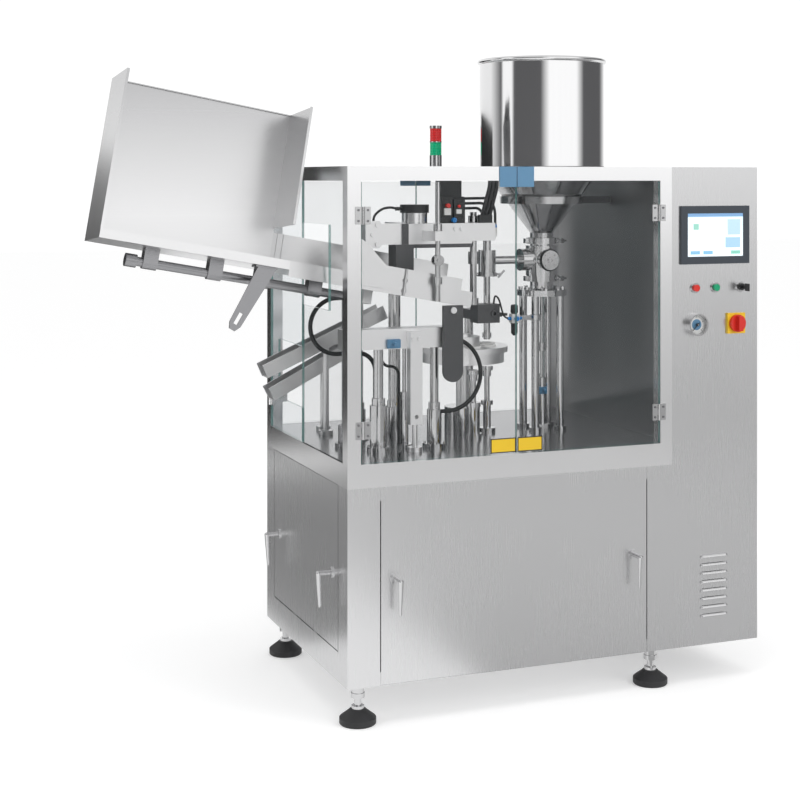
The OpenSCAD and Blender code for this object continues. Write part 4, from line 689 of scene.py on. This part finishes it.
class Recipe:
    """A geometry node group that sets one shape down on every point it is given."""

    def __init__(self, name, sizes):
        self.group = bpy.data.node_groups.new(name, "GeometryNodeTree")
        self.ids = {}
        self.add_input("Places", "NodeSocketGeometry")
        for size in sizes:
            self.add_input(size, "NodeSocketFloat")
        self.add_input("Finish", "NodeSocketMaterial")
        self.group.interface.new_socket("Pieces", in_out="OUTPUT", socket_type="NodeSocketGeometry")
        self.given = self.group.nodes.new("NodeGroupInput")

    def add_input(self, name, kind):
        made = self.group.interface.new_socket(name, in_out="INPUT", socket_type=kind)
        self.ids[name] = made.identifier

    def node(self, kind, sockets, **settings):
        """Adds a node; a socket takes a value, another node's output or a list of outputs."""
        made = self.group.nodes.new(kind)
        for key, value in settings.items():
            setattr(made, key, value)
        for key, given in sockets.items():
            for value in given if isinstance(given, list) else [given]:
                if isinstance(value, bpy.types.NodeSocket):
                    self.group.links.new(value, made.inputs[key])
                else:
                    made.inputs[key].default_value = value
        return made.outputs[0] if made.outputs else None

    def size(self, name):
        return self.given.outputs[name]

    def share(self, name, part):
        """A part of one of the sizes."""
        return self.node("ShaderNodeMath", {0: self.size(name), 1: part}, operation="MULTIPLY")

    def prism(self, sides, radius, depth):
        return self.node("GeometryNodeMeshCylinder", {"Vertices": sides, "Radius": radius, "Depth": depth})

    def raised(self, shape, height):
        up = self.node("ShaderNodeCombineXYZ", {"Z": height})
        return self.node("GeometryNodeTransform", {"Geometry": shape, "Translation": up})

    def close(self, shape):
        """Sets the shape down on the places, turned as each one says."""
        spin = self.node("GeometryNodeInputNamedAttribute", {"Name": "spin"}, data_type="FLOAT_VECTOR")
        turned = self.node("FunctionNodeEulerToRotation", {"Euler": spin})
        sockets = {"Points": self.given.outputs["Places"], "Instance": shape, "Rotation": turned}
        placed = self.node("GeometryNodeInstanceOnPoints", sockets)
        real = self.node("GeometryNodeRealizeInstances", {"Geometry": placed})
        finish = self.given.outputs["Finish"]
        done = self.node("GeometryNodeSetMaterial", {"Geometry": real, "Material": finish})
        self.node("NodeGroupOutput", {"Pieces": done})


def set_down(name, body, slot, recipe, finish, places, **sizes):
    """One mesh of a recipe's shape on every place, given as a point and a turn in degrees."""
    mesh = bpy.data.meshes.new(name)
    mesh.from_pydata([tuple(p) for p, _ in places], [], [])
    spin = mesh.attributes.new("spin", "FLOAT_VECTOR", "POINT")
    for k, (_, turn) in enumerate(places):
        spin.data[k].vector = [math.radians(a) for a in turn]
    piece = bpy.data.objects.new(name, mesh)
    bpy.context.scene.collection.objects.link(piece)
    modifier = piece.modifiers.new("places", "NODES")
    modifier.node_group = recipe.group
    for size, value in sizes.items():
        modifier[recipe.ids[size]] = value / 1000
    modifier[recipe.ids["Finish"]] = finish
    real = bpy.data.meshes.new_from_object(piece.evaluated_get(bpy.context.evaluated_depsgraph_get()))
    piece.modifiers.clear()
    piece.data = real
    piece.data.name = name
    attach(piece, body)
    print(name, "places:", len(places), "faces:", len(real.polygons))


print("recipe class ready")

# %% [markdown]
# Hinge leaves have two screws on either side of the pin, the columns' flanges are bolted to the deck, and
# the valve cover carries four screws that turn with it.

# %% Screws
def socket_screw():
    """Round head with a hexagon hole in its top; the head stands on the point."""
    recipe = Recipe("socket screw", ("Head", "Height", "Key"))
    height = recipe.size("Height")
    head = recipe.raised(recipe.prism(ROUND, recipe.size("Head"), height), recipe.share("Height", 0.5))
    key = recipe.raised(recipe.prism(HEXAGON, recipe.size("Key"), height), height)
    cut = recipe.node("GeometryNodeMeshBoolean", {"Mesh 1": head, "Mesh 2": key}, operation="DIFFERENCE")
    recipe.close(cut)
    return recipe


SCREW = socket_screw()
TO_FRONT = (90, 0, 0)
HINGE_SCREW = {"Head": 3.6, "Height": 1.8, "Key": 1.7}
FOOT_BOLT = {"Head": 3.6, "Height": 4.0, "Key": 2.0}
COVER_SCREW = {"Head": 3.4, "Height": 2.6, "Key": 1.7}
HINGE_X = (48.0, 1045.0)
HINGE_H = (100.0, TOP_H - 145.0)
LEAF_MID = 14.75
LEAF_Y = -3.0
SCREW_OUT = 16.0


def leaf_screws(x):
    return [(spot(x, LEAF_Y, h + side * SCREW_OUT), TO_FRONT) for h in HINGE_H for side in (-1, 1)]


frame_screws = leaf_screws(HINGE_X[0] - LEAF_MID) + leaf_screws(HINGE_X[1] + LEAF_MID)
set_down("frame_hinge_screws", "machine", "polished_stainless", SCREW, shaded_screw_steel,
         frame_screws, **HINGE_SCREW)
set_down("left_door_hinge_screws", "front_left_door", "polished_stainless", SCREW, shaded_screw_steel,
         leaf_screws(HINGE_X[0] + LEAF_MID), **HINGE_SCREW)
set_down("right_door_hinge_screws", "front_right_door", "polished_stainless", SCREW, shaded_screw_steel,
         leaf_screws(HINGE_X[1] - LEAF_MID), **HINGE_SCREW)

FLANGE_H = 14.0
# Flanges of the columns on the deck: place and radius of the bolt circle
COLUMN_FEET = ((172.0, 200.0, 31.5), (358.0, 200.0, 30.0), (650.0, 590.0, 27.0))
foot_bolts = []
for x, y, radius in COLUMN_FEET:
    for turn in range(0, 360, 60):
        angle = math.radians(turn + 30)
        place = spot(x + radius * math.cos(angle), y + radius * math.sin(angle), FLANGE_H)
        foot_bolts.append((place, (0, 0, turn)))
set_down("column_foot_bolts", "machine", "polished_stainless", SCREW, turned_steel, foot_bolts, **FOOT_BOLT)

rotor_lo, rotor_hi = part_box("valve_rotor")
HUB_T = 0.004
COVER_R = 0.024
rotor_mid = (rotor_lo + rotor_hi) / 2
cover_middle = Vector((rotor_mid.x, rotor_lo.y + HUB_T, rotor_mid.z))
cover_screws = []
for turn in range(45, 360, 90):
    angle = math.radians(turn)
    cover_screws.append((cover_middle + Vector((math.cos(angle), 0, math.sin(angle))) * COVER_R, TO_FRONT))
set_down("valve_cover_screws", "rotor", "polished_stainless", SCREW, turned_steel,
         cover_screws, **COVER_SCREW)

# %% [markdown]
# ## Pressure gauge
# The gauge's face lies deep in its ring: a white card with a blue middle and a black scale of fine and
# long ticks over three quarters of a turn. It carries no figures. The ticks are a recipe, because they
# repeat along an arc.

# %% Gauge face
def dial_tick():
    """Flat bar that points outward along its own Z."""
    recipe = Recipe("dial tick", ("Width", "Length", "Thickness"))
    sides = {"X": recipe.size("Width"), "Y": recipe.size("Thickness"), "Z": recipe.size("Length")}
    size = recipe.node("ShaderNodeCombineXYZ", sides)
    recipe.close(recipe.node("GeometryNodeMeshCube", {"Size": size}))
    return recipe


TICK = dial_tick()
GAUGE_X = 1180.0
GAUGE_H = TOP_H - 503.0
FACE_Y = -6.0
TICK_Y = FACE_Y - 1.1
SCALE_R = 25.5
SCALE_N = 21
SCALE_START = -135.0
SCALE_TURN = 270.0
CARD_OUTLINE = ((0.1, 30.2), (0.7, 30.2), (0.9, 29.6))
MIDDLE_OUTLINE = ((0.2, 17.4), (1.2, 17.4), (1.25, 16.9))
CARD_SIDES = 64
MIDDLE_SIDES = 48
FINE_TICK = {"Width": 0.7, "Length": 4.0, "Thickness": 0.6}
LONG_TICK = {"Width": 1.3, "Length": 7.0, "Thickness": 0.7}
LONG_EVERY = 5


def gauge_card(bm):
    add_turned(bm, (GAUGE_X, FACE_Y, GAUGE_H), FRONTWARD, CARD_OUTLINE, CARD_SIDES)


def gauge_ring(bm):
    add_turned(bm, (GAUGE_X, FACE_Y, GAUGE_H), FRONTWARD, MIDDLE_OUTLINE, MIDDLE_SIDES)


def scale_ticks(every):
    ticks = []
    for k in range(0, SCALE_N, every):
        turn = SCALE_START + SCALE_TURN * k / (SCALE_N - 1)
        angle = math.radians(turn)
        place = spot(GAUGE_X + SCALE_R * math.sin(angle), TICK_Y, GAUGE_H + SCALE_R * math.cos(angle))
        ticks.append((place, (0, turn, 0)))
    return ticks


add_piece("gauge_face", "machine", white_plastic, gauge_card)
add_piece("gauge_middle", "machine", blue_plastic, gauge_ring)
set_down("gauge_fine_ticks", "machine", "black_plastic", TICK, black_plastic, scale_ticks(1), **FINE_TICK)
set_down("gauge_long_ticks", "machine", "black_plastic", TICK, black_plastic,
         scale_ticks(LONG_EVERY), **LONG_TICK)

# %% [markdown]
# ## Plates on the doors
# The lower inner corners of the two front doors carry small yellow plates. They are left blank here, with
# a dark rim.

# %% Door plates
PLATE_W = 84.0
PLATE_H = 44.0
PLATE_T = 1.2
RIM = 3.0
RIM_OUT = 0.3
RIM_IN = 0.2
RIM_EDGE = 0.2
CARD_EDGE = 0.5
MID_X = 546.5
PLATE_GAP = 3.0
PLATE_LOW = 6.0
PLATE_HIGH = PLATE_LOW + PLATE_H
glass_front = (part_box("front_left_glass")[0].y - CORNER.y) * 1000


def plate_card(left):
    def make(bm):
        low = (left, glass_front - PLATE_T, PLATE_LOW)
        add_block(bm, low, (left + PLATE_W, glass_front, PLATE_HIGH), CARD_EDGE)
    return make


def plate_rim(left):
    def make(bm):
        front = glass_front - PLATE_T - RIM_OUT
        back = glass_front - RIM_IN
        for low in (PLATE_LOW, PLATE_LOW + PLATE_H - RIM):
            add_block(bm, (left, front, low), (left + PLATE_W, back, low + RIM), RIM_EDGE)
        for side in (left, left + PLATE_W - RIM):
            add_block(bm, (side, front, PLATE_LOW), (side + RIM, back, PLATE_HIGH), RIM_EDGE)
    return make


for door, left in (("left", MID_X - PLATE_GAP - PLATE_W), ("right", MID_X + PLATE_GAP)):
    body = "front_%s_door" % door
    add_piece(door + "_door_plate", body, yellow_plastic, plate_card(left))
    add_piece(door + "_door_plate_rim", body, black_plastic, plate_rim(left))

# %% [markdown]
# ## Air service unit
# Beside the pump hangs an air regulator on a bracket that clamps one of the pump's tie rods: a ribbed
# black knob above a pale block, and a dark bowl under it. Knob, bowl and clamp are round, so each is an
# outline spun round its axis.

# %% Regulator
REGULATOR = (712.0, 360.0)
REGULATOR_H = 362.0
REGULATOR_HALF = 14.0
REGULATOR_TALL = 30.0
BOWL_TALL = 42
BOWL = ((0, 4), (2, 6), (6, 9), (8, 11), (38, 11), (39, 12.5), (BOWL_TALL, 12.5))
KNOB = ((0, 10), (3, 10), (4, 12.5), (26, 12), (30, 9.5), (31, 4))
KNOB_RIBS = 0.8
# The bracket's plate: its sides from the regulator, its way into the block, its stop before the rod
BRACKET_Y = (2, 7)
BRACKET_H = (7, 23)
BRACKET_IN = 2
BRACKET_STOP = 13.5
TIE_ROD = (792.0, 365.0)
ROD_CLAMP = ((0, 16.5), (1, 17.5), (19, 17.5), (20, 16.5))
CLAMP_H = 5
FINE_SIDES = 40


def regulator_dark(bm):
    x, y = REGULATOR
    add_turned(bm, (x, y, REGULATOR_H - BOWL_TALL), UPWARD, BOWL)
    add_turned(bm, (x, y, REGULATOR_H + REGULATOR_TALL), UPWARD, KNOB, FINE_SIDES, KNOB_RIBS)


def regulator_bracket(bm):
    x, y = REGULATOR
    rod_x, rod_y = TIE_ROD
    low = (x + REGULATOR_HALF - BRACKET_IN, y + BRACKET_Y[0], REGULATOR_H + BRACKET_H[0])
    add_block(bm, low, (rod_x - BRACKET_STOP, y + BRACKET_Y[1], REGULATOR_H + BRACKET_H[1]))
    add_turned(bm, (rod_x, rod_y, REGULATOR_H + CLAMP_H), UPWARD, ROD_CLAMP)


add_piece("regulator_knob_and_bowl", "machine", black_plastic, regulator_dark)
add_piece("regulator_bracket", "machine", turned_steel, regulator_bracket)

# %% [markdown]
# The regulator's block and the lids of the valve boxes on the upper beam share a pale plastic, so they
# make one piece. Red overrides and blue push-in fittings are spun outlines again, kept in small tables.

# %% Valve boxes and fittings
PORT_H = REGULATOR_H + REGULATOR_TALL / 2
SIDE_PORT = ((0, 6), (4, 6), (5, 5), (12, 5), (13, 4))
FRONT_PORT = ((-2, 7), (3, 7), (4, 8), (10, 8), (11, 7))
FITTING_SIDES = 24
BLOCK_EDGE = 2.0
LID_EDGE = 1.0
# The valve boxes' front plane, then their lids: left, low, right, high and how far each stands out
ISLAND_FRONT = 278.0
LIDS = ((424, 722, 446, 744, 8), (466, 726, 484, 740, 6))
# Red overrides: place, how far their base stands out, and outline
OVERRIDES = (
    (435, 752, 8, ((-8, 6), (0, 6), (1, 7), (7, 7), (8, 6))),
    (475, 750, 2, ((-2, 4), (2, 4), (6, 5), (7, 4))),
)
ISLAND_PORT = ((-2, 6), (4, 6), (5, 8), (14, 8), (15, 7))
ISLAND_PORT_PLACE = (455, ISLAND_FRONT - 2, 706)


def pale_blocks(bm):
    x, y = REGULATOR
    half = REGULATOR_HALF
    top = REGULATOR_H + REGULATOR_TALL
    add_block(bm, (x - half, y - half, REGULATOR_H), (x + half, y + half, top), BLOCK_EDGE)
    for left, low, right, high, out in LIDS:
        add_block(bm, (left, ISLAND_FRONT - out, low), (right, ISLAND_FRONT + 1, high), LID_EDGE)


def red_overrides(bm):
    for x, h, out, outline in OVERRIDES:
        add_turned(bm, (x, ISLAND_FRONT - out, h), FRONTWARD, outline, FITTING_SIDES)


def blue_fittings(bm):
    x, y = REGULATOR
    for side in (-1, 1):
        place = (x + side * (REGULATOR_HALF - 1), y - 3, PORT_H)
        add_turned(bm, place, (side, 0, 0), SIDE_PORT, FITTING_SIDES)
    add_turned(bm, (x, y - REGULATOR_HALF, PORT_H), FRONTWARD, FRONT_PORT, FITTING_SIDES)
    add_turned(bm, ISLAND_PORT_PLACE, FRONTWARD, ISLAND_PORT, FITTING_SIDES)


add_piece("pale_valve_blocks", "machine", white_plastic, pale_blocks)
add_piece("red_overrides", "machine", red_plastic, red_overrides)
add_piece("blue_fittings", "machine", bright_blue, blue_fittings)

# %% [markdown]
# Two blue parts stand out among the steel: a clamp block with a knob on the left, and a ring with a port
# on the pump's axis.

# %% Blue clamps
CLAMP_LOW = (186, 157, 318)
CLAMP_HIGH = (230, 169.2, 346)
CLAMP_KNOB_PLACE = (208, 157, 332)
CLAMP_KNOB = ((-2, 8), (3, 8), (4, 6), (14, 6), (15, 5))
PUMP = (838.0, 411.0)
PUMP_RING_H = 116.0
PUMP_RING = ((0, 18), (1, 19), (23, 19), (24, 18))
RING_PORT = ((-2, 7), (4, 7), (5, 5), (12, 5), (13, 4))
RING_PORT_PLACE = (PUMP[0], PUMP[1] - 18, PUMP_RING_H + 12)


def blue_clamps(bm):
    add_block(bm, CLAMP_LOW, CLAMP_HIGH, BLOCK_EDGE)
    add_turned(bm, CLAMP_KNOB_PLACE, FRONTWARD, CLAMP_KNOB, FITTING_SIDES)
    add_turned(bm, (*PUMP, PUMP_RING_H), UPWARD, PUMP_RING, FINE_SIDES)
    add_turned(bm, RING_PORT_PLACE, FRONTWARD, RING_PORT, FITTING_SIDES)


add_piece("blue_clamps", "machine", blue_plastic, blue_clamps)

# %% [markdown]
# A black gasket rings the valve's turning cover. It is hollow, so the last ring of its points joins the
# first.

# %% Valve gasket
GASKET_GAP = 0.6
GASKET_W = 4.0
GASKET_T = 3.5
GASKET_IN = 0.5
GASKET_SIDES = 48


def valve_gasket(bm):
    middle = (rotor_mid - CORNER) * 1000
    inner = (rotor_hi.x - rotor_lo.x) * 500 + GASKET_GAP
    outer = inner + GASKET_W
    back = (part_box("valve_body")[0].y - CORNER.y) * 1000 + GASKET_IN
    outline = ((0, inner), (0, outer), (GASKET_T - 1, outer), (GASKET_T, outer - 1), (GASKET_T, inner))
    add_turned(bm, (middle.x, back, middle.z), FRONTWARD, outline, GASKET_SIDES, hollow=True)


add_piece("valve_gasket", "machine", black_rubber, valve_gasket)

# %% [markdown]
# A cable leaves the heater's lug and a hose leaves the regulator. Both are tubes along a smooth curve
# through a few points. Each ring of points takes its direction from the one before it, so that the skin
# doesn't twist.

# %% Cable and hose
CABLE_PATH = ((272, 300, 743), (250, 299, 747), (218, 290, 742), (192, 286, 722), (186, 286, 694))
CABLE_R = 4.0
# Points of the hose from the regulator's middle
HOSE_PATH = ((-22, -3, 0), (-40, -2, 12), (-52, 8, 62), (-58, 26, 72), (-60, 33, 44))
HOSE_R = 3.0
BEND_STEPS = 8
FIRST_SIDE = Vector((0.3, 0.9, 0.2))


def smooth_path(path):
    """Points of a smooth curve through the points of a path."""
    last = len(path) - 1
    fine = []
    for k in range(last):
        start, end = path[k], path[k + 1]
        leave = (end - path[max(k - 1, 0)]) / 2
        arrive = (path[min(k + 2, last)] - start) / 2
        for step in range(BEND_STEPS):
            t = step / BEND_STEPS
            fine.append(start * (2 * t**3 - 3 * t**2 + 1) + leave * (t**3 - 2 * t**2 + t)
                        + end * (3 * t**2 - 2 * t**3) + arrive * (t**3 - t**2))
    fine.append(path[-1])
    return fine


def add_tube(bm, points, radius, sides=12):
    """Round tube through points, with smooth bends between them."""
    fine = smooth_path([spot(*p) for p in points])
    side = FIRST_SIDE
    rings = []
    for k, p in enumerate(fine):
        along = (fine[min(k + 1, len(fine) - 1)] - fine[max(k - 1, 0)]).normalized()
        side = (side - along * side.dot(along)).normalized()
        rings.append(ring_points(p, side, along.cross(side), radius, sides))
    add_rings(bm, rings)


def heater_cable(bm):
    add_tube(bm, CABLE_PATH, CABLE_R)


def regulator_hose(bm):
    x, y = REGULATOR
    add_tube(bm, [(x + dx, y + dy, PORT_H + dh) for dx, dy, dh in HOSE_PATH], HOSE_R)


add_piece("heater_cable", "machine", black_rubber, heater_cable)
add_piece("regulator_hose", "machine", black_rubber, regulator_hose)

# %% [markdown]
# The three air lines end in blue push-in collars on the nozzle's actuator, each a hexagon nut with a
# round collar. They are one more recipe.

# %% Hose collars
def hose_collar():
    """Push-in hose fitting: a hexagon nut with a round collar on it."""
    recipe = Recipe("hose collar", ("Nut", "Collar", "Height"))
    nut = recipe.prism(HEXAGON, recipe.size("Nut"), recipe.share("Height", 0.45))
    collar = recipe.prism(ROUND, recipe.size("Collar"), recipe.size("Height"))
    collar = recipe.raised(collar, recipe.share("Height", 0.5))
    recipe.close(recipe.node("GeometryNodeJoinGeometry", {"Geometry": [nut, collar]}))
    return recipe


COLLAR = hose_collar()
UPRIGHT = (0, 0, 0)
COLLAR_SIZES = {"Nut": 7.2, "Collar": 5.8, "Height": 9.0}
ACTUATOR_TOP = 676.0
COLLAR_H = ACTUATOR_TOP + 1.5
HOSE_ENDS = ((625.0, 403.0), (645.0, 403.0), (666.0, 411.0))
collar_places = [(spot(x, y, COLLAR_H), UPRIGHT) for x, y in HOSE_ENDS]
set_down("hose_collars", "machine", "blue_plastic", COLLAR, bright_blue, collar_places, **COLLAR_SIZES)

# %% [markdown]
# ## Studio
# Polished steel shows what stands round it, so the room matters as much as the lamps. The world here is a
# dark room with three soft panels, each a range of directions: a wide one at the front right, a narrow
# strip on the left and a white sweep all over the back, which is also what the camera sees behind the
# machine. Above them a dimmer ceiling closes the room.

# %% World of soft panels
ROOM_TONE = (0.1, 0.1, 0.103)
WHITE = (1.0, 1.0, 1.0)
WORLD_STRENGTH = 1.3
STRIP_LEVEL = 0.95
SWEEP_LEVEL = 0.8
CEILING_LEVEL = 0.6
world = bpy.data.worlds.new("soft studio")
bpy.context.scene.world = world
sky = Shade(world)
look_x, look_y, look_z = sky.parts(sky.node("ShaderNodeTexCoord", output=0))
turn = sky.node("ShaderNodeMath", {"operation": "ARCTAN2"}, {0: look_x, 1: 0.0 - look_y})


def soft_panel(centre, half, edge):
    """1 within half degrees of a direction, fading over edge; 0 is the front and the right is positive."""
    off = (turn - math.radians(centre)).size()
    return 1.0 - off.clamped(math.radians(half), math.radians(half + edge))


front_panel_light = soft_panel(centre=14.0, half=26.0, edge=16.0)
left_strip = soft_panel(centre=-92.0, half=9.0, edge=5.0)
back_sweep = 1.0 - soft_panel(centre=0.0, half=106.0, edge=28.0)
around = front_panel_light + left_strip * STRIP_LEVEL + back_sweep * SWEEP_LEVEL
ceiling = look_z.clamped(0.3, 0.75)
level = around * (1.0 - ceiling) + ceiling * CEILING_LEVEL
glow = {"Color": sky.mix(level, ROOM_TONE, WHITE), "Strength": WORLD_STRENGTH}
sky.out(sky.node("ShaderNodeBackground", None, glow), "ShaderNodeOutputWorld")
print("world: 3 soft panels and a ceiling")

# %% [markdown]
# The floor is a pale sheet. It glows a little for the camera and in reflections, so that it stays white
# round the feet while it lights the machine no more than paper would.

# %% Floor
FLOOR_GLOW = 0.34
FLOOR_TONES = ((0.8, 0.8, 0.8), (0.82, 0.82, 0.82))
FLAT = (0, 0, 0)


def studio_plane(name, size, place, tilt, material):
    mesh = bpy.data.meshes.new(name)
    w, h = size[0] / 2, size[1] / 2
    mesh.from_pydata([(-w, -h, 0), (w, -h, 0), (w, h, 0), (-w, h, 0)], [], [(0, 1, 2, 3)])
    mesh.materials.append(material)
    plane = bpy.data.objects.new(name, mesh)
    plane.location = place
    plane.rotation_euler = [math.radians(a) for a in tilt]
    bpy.context.scene.collection.objects.link(plane)
    return plane


def floor_finish():
    material, shade = new_shade("pale floor")
    tone = shade.mix(shade.noise(40.0, 2.0), *FLOOR_TONES)
    paper = shade.principled(Base_Color=tone, Roughness=0.9, Specular_IOR_Level=0.0)
    glow = shade.node("ShaderNodeEmission", None, {"Color": WHITE, "Strength": FLOOR_GLOW})
    path = shade.node("ShaderNodeLightPath").socket.node
    seen = Value(shade, path.outputs["Is Camera Ray"])
    for ray in ("Is Glossy Ray", "Is Transmission Ray"):
        seen = seen.maths("MAXIMUM", seen, Value(shade, path.outputs[ray]))
    shine = shade.node("ShaderNodeAddShader", None, {0: paper, 1: glow})
    shade.out(shade.either(seen, paper, shine))
    return material


studio_plane("floor", (60.0, 60.0), (0.6, 0.4, 0.0), FLAT, floor_finish())
print("floor ready")

# %% [markdown]
# Three cards, which the camera doesn't see, darken what the steel mirrors: two behind on the left, for
# the cabinet's left walls and the inside of the tower, and a pale grey one on the floor in front on the
# right, for the lower half of the front.

# %% Cards
STANDING = (90, 0, 0)
black_card = moulded("black card", (0.02, 0.02, 0.02), rough=0.9)
grey_card = moulded("grey card", (0.3, 0.3, 0.3), rough=0.9)
pale_card = moulded("pale grey card", (0.62, 0.62, 0.62), rough=0.9)
CARDS = (
    ("card behind", (5.0, 2.0), (-2.2, 4.5, 1.0), STANDING, black_card),
    ("card on the floor behind", (2.2, 3.0), (-1.3, 2.3, 0.002), FLAT, grey_card),
    ("card on the floor in front", (20.0, 30.0), (10.5, -15.15, 0.002), FLAT, pale_card),
)
for name, size, place, tilt, material in CARDS:
    card = studio_plane(name, size, place, tilt, material)
    card.visible_camera = False
    card.visible_shadow = False
    card.visible_diffuse = False
print("cards:", len(CARDS))

# %% [markdown]
# Two soft lamps, one on the right and one overhead, lift the shadows. Reflections don't show them,
# because the panels already shape the steel.

# %% Lamps
def soft_lamp(name, place, aim, size, power):
    data = bpy.data.lights.new(name, "AREA")
    data.shape = "RECTANGLE"
    data.size, data.size_y = size
    data.energy = power
    lamp = bpy.data.objects.new(name, data)
    lamp.location = place
    lamp.rotation_euler = (Vector(aim) - Vector(place)).to_track_quat("-Z", "Y").to_euler()
    lamp.visible_glossy = False
    bpy.context.scene.collection.objects.link(lamp)


soft_lamp("right softbox", place=(2.6, -3.4, 2.6), aim=(0.5, 0.3, 1.0), size=(1.4, 2.6), power=30)
soft_lamp("overhead softbox", place=(0.4, -0.6, 4.6), aim=(0.5, 0.2, 0.8), size=(3.0, 2.4), power=45)
bpy.context.scene.view_settings.view_transform = "Standard"
print("lamps: 2")
